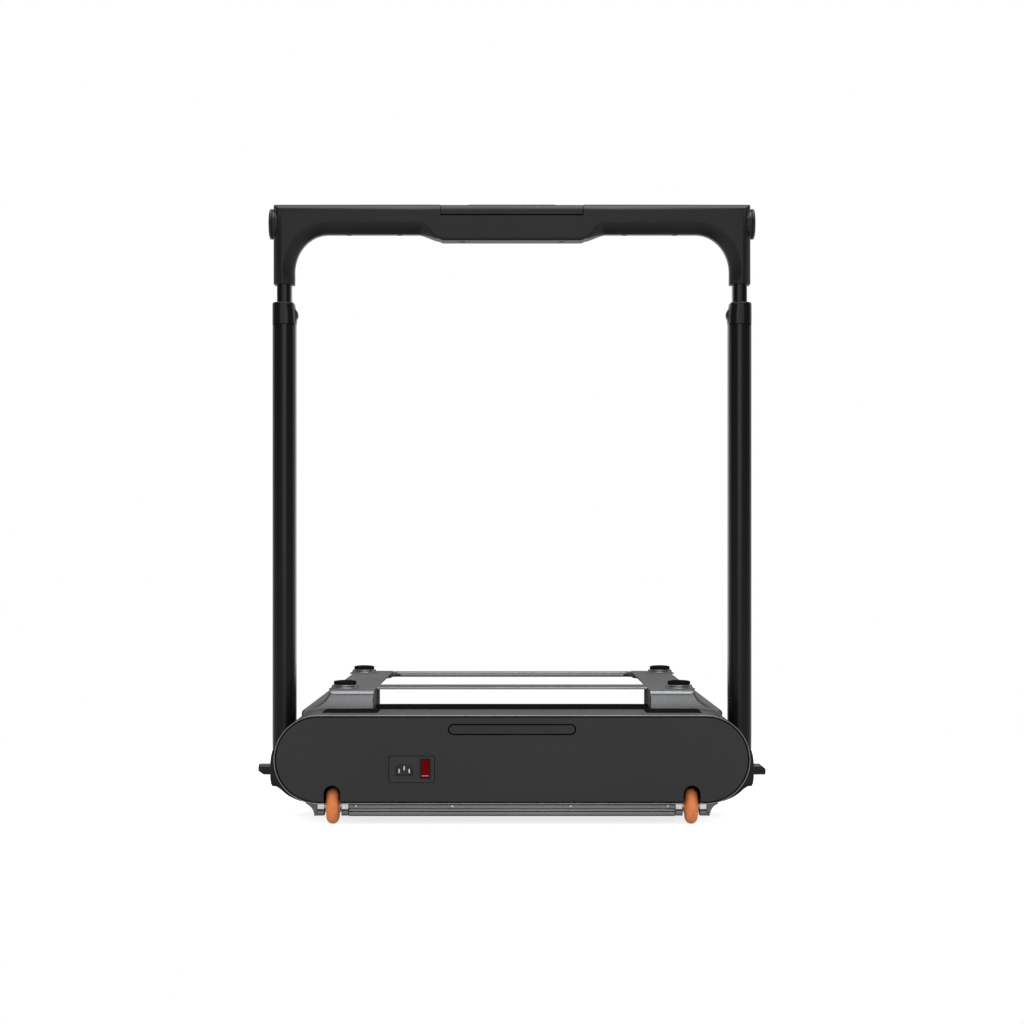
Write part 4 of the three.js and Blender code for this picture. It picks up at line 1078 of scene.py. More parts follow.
def casting_tongue():
    """The front casting's tongue under the housing, flared and cut out for the wheel fork."""
    tongue = Outline()
    fork_outer = high("wheel_fork_right").x + 0.3 * MM
    fork_back = high("wheel_fork_right").y + 0.3 * MM
    tongue_outer = FRAME_OUTER - 15 * MM
    fork_front = low("wheel_fork_right").y
    for u, v in ((FRAME_INNER, HOOD_BACK + 3 * MM), (FRAME_INNER, fork_back), (fork_outer, fork_back),
                 (fork_outer, fork_front), (tongue_outer - 4 * MM, fork_front),
                 (tongue_outer, fork_front + 4 * MM), (tongue_outer, HOOD_BACK + 3 * MM)):
        tongue.to(u, v)
    foot = prism("casting_tongue", tongue, "z", FRAME_LOW - 0.8 * MM, HOOD_LOW - 0.3 * MM, 0.8 * MM,
                 "casting_silver", 3)
    flare_cut = Outline()
    flare_cut.to(tongue_outer - 12.4 * MM, FRAME_LOW - 5 * MM)
    flare_cut.to(tongue_outer - 12.4 * MM, FRAME_LOW)
    flare_cut.curve((tongue_outer - 11.4 * MM, HOOD_LOW - 5 * MM), (tongue_outer, HOOD_LOW - 0.8 * MM), 12)
    flare_cut.to(tongue_outer + 5 * MM, HOOD_LOW - 0.8 * MM)
    flare_cut.to(tongue_outer + 5 * MM, FRAME_LOW - 5 * MM)
    return cut(foot, prism("flare_cut", flare_cut, "y", fork_front - 5 * MM, HOOD_BACK + 4 * MM, 0.0,
                           "casting_silver", 1, weighted=False))


def front_side_frames(edge):
    """The castings of the motor half, each with its tongue, bearing plate, hinge arm and bosses."""
    front = prism("front_casting", frame_outline(edge), "y", HOOD_BACK + 1 * MM, FRAME_END, None,
                  "casting_silver", 5, frame_stations(False))
    tongue = casting_tongue()
    bearing = prism("bearing_plate", rounded_rect(PANEL_Y + 86 * MM, HOOD_BACK + 2 * MM, 33 * MM,
                    89 * MM, 3 * MM), "x", FRAME_INNER, FRAME_INNER + 8 * MM, 0.5 * MM,
                    "casting_silver", 2)
    arm = hinge_arm("front_arm", FRAME_INNER + 14 * MM, ARM_SPLIT - 0.2 * MM, False)
    bosses = foot_bosses("front", -1, FRAME_LOW)
    right = join("front_casting_right", [front, tongue, bearing, arm, bosses])
    hung(mirrored("front_casting_left", right), "base", "cast_silver", "front_frame_left")
    hung(right, "base", "cast_silver", "front_frame_right")


def rear_side_frames(edge, brow, flare):
    """The castings of the folded half, upside down, their roller ends set back at the sole."""
    start = low("rear_frame_right").y
    rear = prism("rear_casting", frame_outline(edge, brow, True), "y", start, FRAME_END, None,
                 "casting_silver", 8, frame_stations(True))
    top = 2 * FOLD_Z - FRAME_LOW
    tall, reach = 28 * MM, 30 * MM
    sliced(rear, [top - tall * i / 8 for i in range(1, 9)], start + reach)
    for vertex in rear.data.vertices:
        drop = min(1.0, max(0.0, (top - vertex.co.z) / tall))
        near = min(1.0, max(0.0, 1 - (vertex.co.y - start) / reach))
        vertex.co.y += flare * (0.8 * (1 - drop) ** 3 + 0.2 * (1 - drop)) * near
    arm = hinge_arm("rear_arm", ARM_SPLIT + 0.2 * MM, FRAME_INNER + 92 * MM, True)
    bosses = foot_bosses("rear", 1, top)
    right = join("rear_casting_right", [rear, arm, bosses])
    hung(mirrored("rear_casting_left", right), "rear_deck", "cast_silver", "rear_frame_left")
    hung(right, "rear_deck", "cast_silver", "rear_frame_right")


def build_side_frames(settings):
    front_side_frames(settings.frame_edge)
    rear_side_frames(settings.frame_edge, settings.frame_brow, settings.frame_flare)


def build_foot_strips(settings):
    """Ribbed rubber strips on the landings beside the belt."""
    inner = FRAME_INNER + 6 * MM
    outer = inner + settings.strip_width
    for body, start, turn_over in (("base", HOOD_BACK + 6 * MM, False),
                                   ("rear_deck", low("rear_frame_right").y + 6 * MM, True)):
        section = Outline()
        count = int((outer - inner) / settings.rib_pitch)
        height, groove = 1.4 * MM, 0.5 * MM
        section.to(inner, FRAME_TOP - 0.3 * MM)
        section.to(outer, FRAME_TOP - 0.3 * MM)
        for i in range(count, 0, -1):
            right = inner + (outer - inner) * i / count
            left = inner + (outer - inner) * (i - 1) / count
            section.to(right - 0.4 * MM, FRAME_TOP + groove)
            section.to(right - 1.2 * MM, FRAME_TOP + height)
            section.to(left + 1.2 * MM, FRAME_TOP + height)
            section.to(left + 0.4 * MM, FRAME_TOP + groove)
        if turn_over:
            section.flipped(FOLD_Z)
        end = FOLD_Y - 12 * MM
        right = prism("strip", section, "y", start, end, 0.0, "rubber_black", 1, smooth=20)
        name = "foot_strip_rear" if turn_over else "foot_strip_front"
        hung(mirrored(name + "_left", right), body, "rubber_black")
        right.name = name + "_right"
        hung(right, body, "rubber_black")


def build_feet():
    """The eight rubber feet, each with a round dimple in its tread."""
    for body, half in (("base", "front"), ("rear_deck", "rear")):
        for end in ("near", "far"):
            for name, _ in SIDES:
                node = f"{half}_foot_{end}_{name}"
                lo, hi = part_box(node)
                centre = ((lo.x + hi.x) / 2, (lo.y + hi.y) / 2, 0.0)
                base, tip = (hi.z, lo.z) if half == "front" else (lo.z, hi.z)
                up = 1 if tip > base else -1
                radius = (hi.x - lo.x) / 2
                profile = [(0.0, base), (radius - 0.6 * MM, base), (radius, base + up * 1 * MM),
                           (radius, tip - up * 2.0 * MM), (radius - 0.8 * MM, tip - up * 1.3 * MM),
                           (radius * 0.8, tip - up * 0.7 * MM), (radius * 0.55, tip - up * 0.2 * MM),
                           (radius * 0.4, tip), (3.6 * MM, tip), (3.2 * MM, tip - up * 1.6 * MM),
                           (0.0, tip - up * 1.6 * MM)]
                piece = turned_piece(node + "_pad", profile, centre, "z", "rubber_black", 0.6 * MM, 48)
                hung(piece, body, "rubber_black", node)


# ------------------------------------------------------------------ crossbars, end plate and front rail
def build_crossbars():
    """The crossbars beside the fold, filleted into the castings at both ends."""
    for half, body, turn_over in (("front", "base", False), ("rear", "rear_deck", True)):
        lo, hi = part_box(half + "_fold_bar")
        end_x = REAR_LIP + 1 * MM if turn_over else hi.x
        bar_front = hi.y - 20 * MM
        fillet = 16 * MM
        nose = 2.2 * MM
        tall = 8.4 * MM
        lean = 0.16
        bottom, top = (hi.z - tall, hi.z) if turn_over else (lo.z, lo.z + tall)
        right = []
        for i in range(13):
            angle = PI / 2 * i / 12
            right.append((end_x - 1 * MM - fillet * (1 - math.sin(angle)),
                          bar_front - fillet * (1 - math.cos(angle)),
                          0.3 * MM + (nose + 1.6 * MM * math.sin(2 * angle)) * (1 - math.sin(angle) ** 8)))
        right.append((end_x, bar_front - fillet, 0.2 * MM))
        right.append((end_x, hi.y, 0.8 * MM))
        plan = Outline()
        for x, y, mark in right:
            plan.mark = mark
            plan.to(x, y)
        for x, y, mark in reversed(right):
            plan.mark = mark
            plan.to(-x, y)
        bar = prism(half + "_fold_crossbar", plan, "z", bottom, top, None, "casting_silver", 6)
        for vertex in bar.data.vertices:
            if vertex.co.y < hi.y - 6 * MM:
                vertex.co.y += lean * (vertex.co.z - bottom if turn_over else top - vertex.co.z)
        hung(bar, body, "cast_silver", half + "_fold_bar")


def build_end_plate():
    """The plate across the roller end of the folded half."""
    lo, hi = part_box("rear_end_plate")
    section = Outline()
    lip = 3.2 * MM
    start, end, bottom = lo.y + 90 * MM, hi.y - 15 * MM, hi.z - 3.6 * MM
    section.to(start + 0.8 * MM, bottom)
    section.to(end - 1 * MM, bottom)
    section.to(end, bottom + 1 * MM)
    section.arc(end - 1.5 * MM, hi.z - 1.5 * MM, 1.5 * MM, 0, PI / 2, 4)
    section.arc(start + lip, hi.z - lip, lip, PI / 2, PI, 10)
    plate = prism("rear_end_cover", section, "x", lo.x, hi.x, 0.3 * MM, "casting_silver", 1)
    hung(plate, "rear_deck", "cast_silver", "rear_end_plate")


def build_front_rail():
    """The rail under the end housing, with its four screws."""
    lo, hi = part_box("front_crossbar")
    middle = (lo.z + hi.z) / 2
    sole = lo.z - 1.6 * MM
    section = Outline()
    section.to(lo.y + 2.5 * MM, sole)
    section.to(hi.y - 1 * MM, sole)
    section.to(hi.y, sole + 1 * MM)
    section.to(hi.y, hi.z - 1 * MM)
    section.to(hi.y - 1 * MM, hi.z)
    section.arc(lo.y + 3 * MM, hi.z - 3 * MM, 3 * MM, PI / 2, PI, 6)
    section.to(lo.y, middle + 1.2 * MM)
    section.to(lo.y + 2 * MM, middle)
    section.to(lo.y + 2 * MM, middle - 3 * MM)
    section.to(lo.y, middle - 4.2 * MM)
    section.arc(lo.y + 2.5 * MM, sole + 2.5 * MM, 2.5 * MM, PI, 1.5 * PI, 6)
    bar = prism("front_rail", section, "x", lo.x, hi.x, 0.6 * MM, "casting_silver", 2, smooth=30)
    lean = 0.09
    for vertex in bar.data.vertices:
        if vertex.co.y < lo.y + 8 * MM:
            vertex.co.y += lean * (vertex.co.z - sole)
    hung(bar, "base", "cast_silver", "front_crossbar")
    screws = bmesh.new()
    for x in (-215 * MM, -82 * MM, 81 * MM, 215 * MM):
        turned(screws, [(0.0, -0.6 * MM), (1.4 * MM, -0.6 * MM), (1.8 * MM, -0.1 * MM),
                        (1.8 * MM, 1 * MM), (0.0, 1 * MM)], (x, lo.y + 1.3 * MM, hi.z - 4.4 * MM), "y", 24)
    hung(from_bmesh("front_rail_screws", screws, "turned_steel"), "base", "steel")


# ------------------------------------------------------------------ belts
def belt_band(y_roller, z_roller, y_end, half_width, name):
    """The running belt round a roller and along both faces of the board."""
    inner, thick = 26.3 * MM, 2.2 * MM
    outer = inner + thick
    rise = 32 * MM
    end_low = z_roller - inner + rise
    slope = math.atan2(rise, y_end - y_roller)
    band = Outline()
    band.to(y_end, z_roller + outer)
    for i in range(49):
        angle = PI / 2 + (PI + slope) * i / 48
        band.to(y_roller + outer * math.cos(angle), z_roller + outer * math.sin(angle))
    band.to(y_end, end_low - thick)
    band.to(y_end, end_low)
    for i in range(48, -1, -1):
        angle = PI / 2 + (PI + slope) * i / 48
        band.to(y_roller + inner * math.cos(angle), z_roller + inner * math.sin(angle))
    band.to(y_end, z_roller + inner)
    return prism(name, band, "x", -half_width, half_width, 0.3 * MM, "belt_black", 2)


def build_belts():
    """The belt of each half; the rear one is turned over about the fold and a little taller."""
    taller = 1.05
    half = high("front_belt").x
    end = high("front_belt").y
    lo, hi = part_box("drive_roller")
    z_roller = (lo.z + hi.z) / 2
    hung(belt_band((lo.y + hi.y) / 2, z_roller, end, half, "front_running_belt"), "base",
         "belt_black", "front_belt")
    lo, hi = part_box("rear_roller")
    band = belt_band((lo.y + hi.y) / 2, z_roller, end, half, "rear_running_belt")
    turn_over = Matrix.Diagonal((1, 1, -taller, 1))
    band.data.transform(Matrix.Translation((0, 0, (1 + taller) * FOLD_Z)) @ turn_over)
    band.data.flip_normals()
    hung(band, "rear_deck", "belt_black", "rear_belt")


# ------------------------------------------------------------------ wheels
def wheel_tyre(name, side):
    """A moulded wheel: a round tread, a web set in a little and a hub bored for the axle."""
    half = 8.8 * MM
    profile = [(3.4 * MM, -half - 1 * MM), (9 * MM, -half - 1 * MM), (9.8 * MM, -half + 1.2 * MM),
               (WHEEL_RADIUS - 8.6 * MM, -half + 1.2 * MM)]
    for i in range(17):
        angle = -PI / 2 + PI * i / 16
        profile.append((WHEEL_RADIUS - half + half * math.cos(angle), half * math.sin(angle)))
    profile += [(WHEEL_RADIUS - 8.6 * MM, half - 1.2 * MM), (9.8 * MM, half - 1.2 * MM),
                (9 * MM, half + 1 * MM), (3.4 * MM, half + 1 * MM), (3.4 * MM, -half - 1 * MM)]
    work = bmesh.new()
    rings = []
    steps = 72
    for radius, along in soften(profile, 0.5 * MM, 3)[:-1]:
        rings.append([Vector((side * WHEEL_X + along, WHEEL_Y + radius * math.cos(2 * PI * i / steps),
                              WHEEL_RADIUS + radius * math.sin(2 * PI * i / steps)))
                      for i in range(steps)])
    rings.append(rings[0])
    loft(work, rings, close=False)
    piece = from_bmesh(f"wheel_{name}_tyre", work, "wheel_orange")
    hung(piece, f"wheel_{name}", "orange", f"wheel_{name}")


def wheel_fork(name, side, x0, x1):
    """The two polished arms beside a wheel with the web behind it, and their cast feet."""
    lo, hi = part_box("wheel_fork_right")
    arms = []
    feet = []
    gap = ARCH_HALF
    ledge = lo.z + 8.8 * MM
    sole = lo.z - 0.8 * MM
    for a, b in ((x0, side * WHEEL_X - gap), (side * WHEEL_X + gap, x1)):
        cheek = Outline()
        cheek.to(lo.y + 0.2 * MM, hi.z - 0.6 * MM)
        cheek.to(lo.y + 2.0 * MM, ledge + 0.4 * MM)
        cheek.to(lo.y + 2.6 * MM, ledge - 1 * MM)
        cheek.to(lo.y + 22 * MM, ledge - 1 * MM)
        cheek.to(hi.y - 4 * MM, lo.z + 2 * MM)
        cheek.to(hi.y, lo.z + 5 * MM)
        cheek.to(hi.y, hi.z - 3 * MM)
        cheek.to(hi.y - 3 * MM, hi.z - 0.6 * MM)
        arms.append(prism("fork_arm", cheek, "x", a, b, 0.7 * MM, "polished_metal", 3))
        rail = Outline()
        rail.arc(lo.y + 3.4 * MM, ledge - 4.4 * MM, 3.4 * MM, PI / 2, PI, 6)
        rail.arc(lo.y + 3 * MM, sole + 3 * MM, 3 * MM, PI, 1.5 * PI, 6)
        rail.to(lo.y + 20 * MM, sole)
        rail.to(lo.y + 20 * MM, ledge - 1 * MM)
        outward = 2.6 * MM if abs(a + b) > 2 * WHEEL_X else 0.0
        feet.append(prism("fork_foot", rail, "x", a - (outward if side < 0 else 0.0),
                          b + (outward if side > 0 else 0.0), 0.5 * MM, "casting_silver", 2))
    arms.append(prism("fork_web", rounded_rect(lo.y + 34.5 * MM, hi.y - 0.5 * MM, lo.z + 1 * MM,
                      hi.z - 1 * MM, 3 * MM, 4), "x", x0 + 2 * MM, x1 - 2 * MM, 0.5 * MM,
                      "polished_metal", 2))
    hung(join(f"wheel_{name}_fork", arms), "base", "polished", f"wheel_fork_{name}")
    hung(join(f"wheel_{name}_fork_feet", feet), "base", "cast_silver")


def wheel_axle(name, x0, x1):
    axle = turned_piece(f"wheel_{name}_axle", [
        (0.0, x0 - 0.2 * MM), (3 * MM, x0 - 0.2 * MM), (3 * MM, x1 + 0.2 * MM), (0.0, x1 + 0.2 * MM),
    ], (0.0, WHEEL_Y, WHEEL_RADIUS), "x", "turned_steel", 0.5 * MM, 32)
    hung(axle, "base", "steel", f"wheel_axle_{name}")


def build_wheels():
    lo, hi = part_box("wheel_fork_right")
    for name, side in SIDES:
        x0, x1 = (lo.x, hi.x) if side > 0 else (-hi.x, -lo.x)
        wheel_tyre(name, side)
        wheel_fork(name, side, x0, x1)
        wheel_axle(name, x0, x1)


# ------------------------------------------------------------------ posts, brackets and levers
def post_outline(grow=0.0, corner=15.2 * MM):
    return rounded_rect(POST_X - POST_HALF_X - grow, POST_X + POST_HALF_X + grow,
                        POST_Y - POST_HALF_Y - grow, POST_Y + POST_HALF_Y + grow, corner + grow, 14)


def build_posts():
    """The posts, each a tube that ends in a round knuckle on the pivot."""
    top = high("post_right").z
    body = prism("post_tube", post_outline(), "z", PIVOT_Z, top, 0.0, "powder_black", 1)
    knuckle = turned_piece("post_knuckle", [
        (0.0, POST_X - POST_HALF_X), (POST_HALF_Y - 1 * MM, POST_X - POST_HALF_X),
        (POST_HALF_Y, POST_X - POST_HALF_X + 1 * MM), (POST_HALF_Y, POST_X + POST_HALF_X - 1 * MM),
        (POST_HALF_Y - 1 * MM, POST_X + POST_HALF_X), (0.0, POST_X + POST_HALF_X),
    ], (0.0, POST_Y, PIVOT_Z), "x", "powder_black", 0.8 * MM, 72)
    right = join("post_right_tube", [body, knuckle])
    hung(mirrored("post_left_tube", right), "uprights", "satin_black", "post_left")
    hung(right, "uprights", "satin_black", "post_right")


def build_collars():
    """The collars on the posts, each with the cheek that its height button sits in."""
    lo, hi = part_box("collar_right")
    work = bmesh.new()
    rings = []
    taper = 2.2 * MM
    tall = hi.z - lo.z
    for height, inset in ((0.3, 0.5), (0.8, 0.0), (tall * 250, 0.0), (tall * 500, 0.0),
                          (tall * 750, 0.0), (tall * 1000 - 3.2, 0.0), (tall * 1000 - 1.6, 0.35),
                          (tall * 1000 - 0.6, 1.1), (tall * 1000 - 0.1, 2.2), (tall * 1000, 3.4)):
        climb = height * MM / tall
        lean = taper * climb * climb
        ring = rounded_rect(lo.x + lean + inset * MM, hi.x - inset * MM, lo.y + inset * MM,
                            hi.y - inset * MM, 12.5 * MM, 10)
        rings.append([Vector((u, v, lo.z + height * MM)) for u, v in ring.points])
    loft(work, rings)
    sleeve = from_bmesh("collar_sleeve", work, "powder_black")
    # A near-black ring at the foot of the collar: painted shade in the seam.
    seam = prism("collar_seam_shade", post_outline(-0.6 * MM, 12 * MM), "z", lo.z - 1.2 * MM, lo.z + 1 * MM,
                 0.0, "shadow_gap", 1)
    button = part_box("height_button_right")
    button_z = (button[0].z + button[1].z) / 2
    housing = Outline()
    inner = lo.x
    housing.to(inner + 2 * MM, button_z - 16 * MM)
    housing.to(inner + 2 * MM, button_z + 13 * MM)
    housing.curve((inner - 1.3 * MM, button_z + 4 * MM), (inner - 1.3 * MM, button_z), 6)
    housing.curve((inner - 1.3 * MM, button_z - 8 * MM), (inner + 0.2 * MM, button_z - 15 * MM), 6)
    cheek = prism("button_cheek", housing, "y", POST_Y - 11 * MM, POST_Y + 11 * MM, 1.2 * MM,
                  "powder_black", 4)
    right = join("collar_right_sleeve", [sleeve, seam, cheek])
    hung(mirrored("collar_left_sleeve", right), "uprights", "handle_black", "collar_left")
    hung(right, "uprights", "handle_black", "collar_right")


def build_height_buttons():
    lo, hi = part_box("height_button_right")
    middle = (lo.z + hi.z) / 2
    collar = low("collar_right").x
    cap = Outline()
    cap.to(collar + 1.5 * MM, lo.z)
    cap.to(collar + 1.5 * MM, hi.z)
    cap.to(collar - 0.6 * MM, hi.z - 1 * MM)
    cap.curve((lo.x, middle + 4 * MM), (lo.x, middle), 6)
    cap.curve((lo.x, middle - 4 * MM), (collar - 0.6 * MM, lo.z + 1 * MM), 6)
    right = prism("height_key_right", cap, "y", lo.y, hi.y, 1 * MM, "dark_plastic", 4)
    hung(mirrored("height_key_left", right), "height_button_left", "dark_plastic", "height_button_left")
    hung(right, "height_button_right", "dark_plastic", "height_button_right")


def build_inner_tubes():
    """The tubes that slide in the posts, with a row of near-black discs that paint the shade of detent
    holes.
    """
    lo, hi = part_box("inner_tube_right")
    tube = prism("inner_tube_shaft", rounded_rect(lo.x, hi.x, lo.y, hi.y, 8 * MM), "z", lo.z, hi.z,
                 0.5 * MM, "powder_black", 2)
    # Dark discs in the tube's face: painted shade standing for detent holes.
    holes = bmesh.new()
    for i in range(6):
        z = lo.z + 58 * MM + i * 30 * MM
        turned(holes, [(0.0, lo.x - 0.05 * MM), (3.6 * MM, lo.x - 0.05 * MM), (3.6 * MM, lo.x + 1 * MM),
                       (0.0, lo.x + 1 * MM)], (0.0, POST_Y, z), "x", 24)
    marks = from_bmesh("detent_hole_shade", holes, "shadow_gap")
    right = join("inner_tube_right_shaft", [tube, marks])
    hung(mirrored("inner_tube_left_shaft", right), "handlebar", "satin_black", "inner_tube_left")
    hung(right, "handlebar", "satin_black", "inner_tube_right")


def build_post_brackets():
    """The brackets at the posts' feet, slotted so that the posts can fold."""
    lo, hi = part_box("post_bracket_right")
    inner, outer = lo.x, hi.x
    channel_in, channel_out = POST_X - POST_HALF_X - 0.4 * MM, POST_X + POST_HALF_X + 0.4 * MM
    edge = outer - 2 * MM
    skirt = Outline()
    skirt.to(inner, lo.z)
    skirt.curve((edge - 28.4 * MM, lo.z + 4.8 * MM), (edge - 20.4 * MM, lo.z + 12 * MM), 6)
    skirt.curve((edge - 13.4 * MM, lo.z + 18.6 * MM), (edge - 9.2 * MM, lo.z + 20.8 * MM), 6)
    skirt.to(edge - 3.2 * MM, lo.z + 21.6 * MM)
    skirt.curve((edge - 1.2 * MM, lo.z + 23 * MM), (edge, lo.z + 33 * MM), 6)
    skirt.to(edge, hi.z - 22 * MM)
    skirt.curve((edge - 0.2 * MM, hi.z - 12 * MM), (edge - 3 * MM, hi.z - 2.4 * MM), 8)
    skirt.to(edge - 4.4 * MM, hi.z)
    skirt.to(inner, hi.z)
    block = prism("bracket_block", skirt, "y", lo.y, hi.y, 1.6 * MM, "powder_black", 4)
    swing = POST_HALF_Y + 0.5 * MM
    slot_cut = Outline()
    slot_cut.to(POST_Y - swing, hi.z + 2 * PAST)
    slot_cut.arc(POST_Y, PIVOT_Z, swing, PI, 1.5 * PI, 20)
    slot_cut.to(hi.y + 2 * PAST, PIVOT_Z - swing)
    slot_cut.to(hi.y + 2 * PAST, hi.z + 2 * PAST)
    tool = prism("bracket_slot", slot_cut, "x", channel_in, channel_out, 0.0, "powder_black", 1,
                 weighted=False)
    right = cut(block, tool)
    right.name = "post_bracket_right_shell"
    hung(mirrored("post_bracket_left_shell", right), "base", "satin_black", "post_bracket_left")
    hung(right, "base", "satin_black", "post_bracket_right")


def build_lock_levers():
    """The paddles outside the brackets, each on a hub on the posts' axis."""
    lo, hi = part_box("lock_lever_right")
    start = high("post_bracket_right").x - 1.6 * MM
    droop = 3.7 * MM
    bottom, top = lo.z - droop, hi.z - droop
    half = (top - bottom) / 2
    for name, side in SIDES:
        plan = Outline()
        plan.arc(lo.y + half, bottom + half, half, PI / 2, 1.5 * PI, 20)
        plan.arc(hi.y - half + 2 * MM, bottom + half, half - 2 * MM, -PI / 2, PI / 2, 16)
        paddle = prism("lever_paddle", plan, "x", start, hi.x, 0.0, "powder_black", 1, weighted=False)
        wedge = Outline()
        wedge.to(hi.x - 8.1 * MM, bottom - 5 * MM)
        wedge.to(hi.x - 7.6 * MM, bottom)
        wedge.to(hi.x, bottom + 6.4 * MM)
        wedge.to(hi.x + 5 * MM, bottom + 8 * MM)
        wedge.to(hi.x + 5 * MM, bottom - 5 * MM)
        if side > 0:
            wedge.flipped(bottom + half)
        tool = prism("lever_chamfer", wedge, "y", lo.y - PAST, hi.y + PAST, 0.0, "powder_black", 1,
                     weighted=False)
        paddle = cut(paddle, tool)
        bevelled(paddle, 0.9 * MM)
        hub = turned_piece("lever_hub", [(0.0, lo.x), (6 * MM, lo.x), (6 * MM, start + 1 * MM),
                           (0.0, start + 1 * MM)], (0.0, POST_Y, PIVOT_Z), "x", "powder_black", 0.4 * MM, 40)
        grip = join(f"lock_lever_{name}_grip", [paddle, hub])
        if side < 0:
            plain = grip
            grip = mirrored("lock_lever_grip", plain)
            bpy.data.objects.remove(plain)
            grip.name = f"lock_lever_{name}_grip"
        hung(grip, f"lock_lever_{name}", "dark_plastic", f"lock_lever_{name}")


# ------------------------------------------------------------------ handlebar and console
LID_GAP = 0.5 * MM          # between the console's lid and the ends of its seat
ARM_BELLY = HANDLE_HIGH - 41.5 * MM
CONSOLE_BELLY = HANDLE_HIGH - 51.5 * MM


def handle_outline(settings):
    """The handlebar from the front, with the rounding of each stretch of its edge."""
    upper, belly, lip = settings.bar_edge, settings.bar_belly, settings.console_lip
    side = upper + 2 * MM
    outer = POST_X + SLEEVE_HALF
    inner = POST_X - SLEEVE_HALF
    arm, console = ARM_BELLY, CONSOLE_BELLY
    reach, drop = 48 * MM, 54 * MM
    half = [(0.0, console, lip, 0), (98 * MM, console, lip, 0)]
    for i in range(1, 5):
        t = i / 4
        half.append(((98 + 6 * t) * MM, console + 2.2 * MM * t * t, lip, 0))
    start = (104 * MM, console + 2.2 * MM)
    for i in range(1, 11):
        t = i / 10
        ease = t * t * (3 - 2 * t)
        half.append((start[0] + 29 * MM * t, start[1] + (arm - start[1]) * (t + ease) / 2,
                     lip + (belly - lip) * ease, 0))
    for i in range(25):
        angle = PI / 2 * i / 24
        half.append((inner - reach * (1 - math.sin(angle)), arm - drop * (1 - math.cos(angle)), belly, 0))
    half.append((inner, HANDLE_LOW + 12 * MM, belly * 0.92, 0))
    half.append((inner, HANDLE_LOW, (belly * 0.9, 1.4 * MM), 1 * MM))
    half.append((outer, HANDLE_LOW, (1.4 * MM, side), 1 * MM))
    top = HANDLE_HIGH + 0.6 * MM
    half.append((outer, top, (side, upper), 2.5 * MM))
    lid_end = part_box("display_cover")[1].x + LID_GAP
    half.append((140 * MM, top, upper, 0))
    half.append((lid_end + 1 * MM, top, upper, 0))
    half.append((0.0, top, upper, 0))
    other = [(-u, v, pair(mark)[::-1], rounding) for u, v, mark, rounding in reversed(half) if u > 1e-9]
    made = Outline()
    for u, v, mark, rounding in half + other:
        made.mark = mark
        made.to(u, v, rounding)
    return made


def cap_height(name):
    """The height of an end cap's axis, a little above its node's."""
    lo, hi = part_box(f"end_cap_{name}")
    return (lo.z + hi.z) / 2 + 1.4 * MM


def build_handlebar(settings):
    """The bar with its arms and console in one shell, and the seat of the lid cut into it."""
    lo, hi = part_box("handlebar")
    bar = prism("handle_bar", handle_outline(settings), "y", lo.y, hi.y, None, "moulded_charcoal", 10)
    cover_lo, cover_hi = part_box("display_cover")
    tool = prism("cover_seat", rounded_rect(cover_lo.x - LID_GAP, cover_hi.x + LID_GAP,
                 cover_lo.z - 2.6 * MM, cover_hi.z + 2 * PAST, 0.4 * MM, 2), "y", lo.y - PAST, hi.y + PAST,
                 0.0, "moulded_charcoal", 1, weighted=False)
    bar = cut(bar, tool)
    hubs = []
    outer = POST_X + SLEEVE_HALF
    for _, side in SIDES:
        hubs.append(turned_piece("bar_hub", [
            (0.0, side * (outer - 6 * MM)), (21.5 * MM, side * (outer - 6 * MM)),
            (21.5 * MM, side * (outer + 1.8 * MM)), (0.0, side * (outer + 1.8 * MM))],
            (0.0, POST_Y, cap_height("right")), "x", "moulded_charcoal", 0.6 * MM, 64))
    # A near-black floor under the lid, seen in the gaps at its ends: painted shade.
    seat = prism("lid_seat_shade", rounded_rect(cover_lo.x, cover_hi.x, lo.y + 6 * MM, hi.y - 6 * MM,
                 4 * MM), "z", cover_lo.z - 4 * MM, cover_lo.z - 0.7 * MM, 0.0, "shadow_gap", 1)
    hung(join("handle_bar_shell", [bar, *hubs, seat]), "handlebar", "handle_black", "handlebar")


def build_end_caps():
    """The round caps at the handlebar's ends, each with a groove round its face."""
    for name, side in SIDES:
        lo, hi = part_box(f"end_cap_{name}")
        start = lo.x if side > 0 else hi.x
        profile = [(0.0, 0.0), (21.9 * MM, 0.0), (21.9 * MM, 2.4 * MM), (20.8 * MM, 3.8 * MM),
                   (17.5 * MM, 4.8 * MM), (16.6 * MM, 4.8 * MM), (16.2 * MM, 4.2 * MM),
                   (15.4 * MM, 4.2 * MM), (15.0 * MM, 4.8 * MM), (6 * MM, 5.0 * MM), (0.0, 5.0 * MM)]
        cap = turned_piece(f"end_cap_{name}_disc", [(r, start + side * a) for r, a in profile],
                           (0.0, POST_Y, cap_height(name)), "x", "moulded_charcoal", 0.8 * MM, 72)
        hung(cap, "handlebar", "dark_plastic", f"end_cap_{name}")


def build_bar_screws():
    """The screws along the underside of the console and the arms."""
    screws = bmesh.new()
    for x, z in ((71 * MM, CONSOLE_BELLY), (233 * MM, ARM_BELLY), (161 * MM, ARM_BELLY)):
        head = [(0.0, z + 1 * MM), (4.2 * MM, z + 1 * MM), (4.2 * MM, z - 0.5 * MM),
                (3.6 * MM, z - 0.8 * MM), (0.0, z - 0.8 * MM)]
        for _, side in SIDES:
            turned(screws, soften(head, 0.3 * MM), (side * x, POST_Y, 0.0), "z", 28)
    hung(from_bmesh("bar_screws", screws, "dark_plastic"), "handlebar", "dark_plastic")


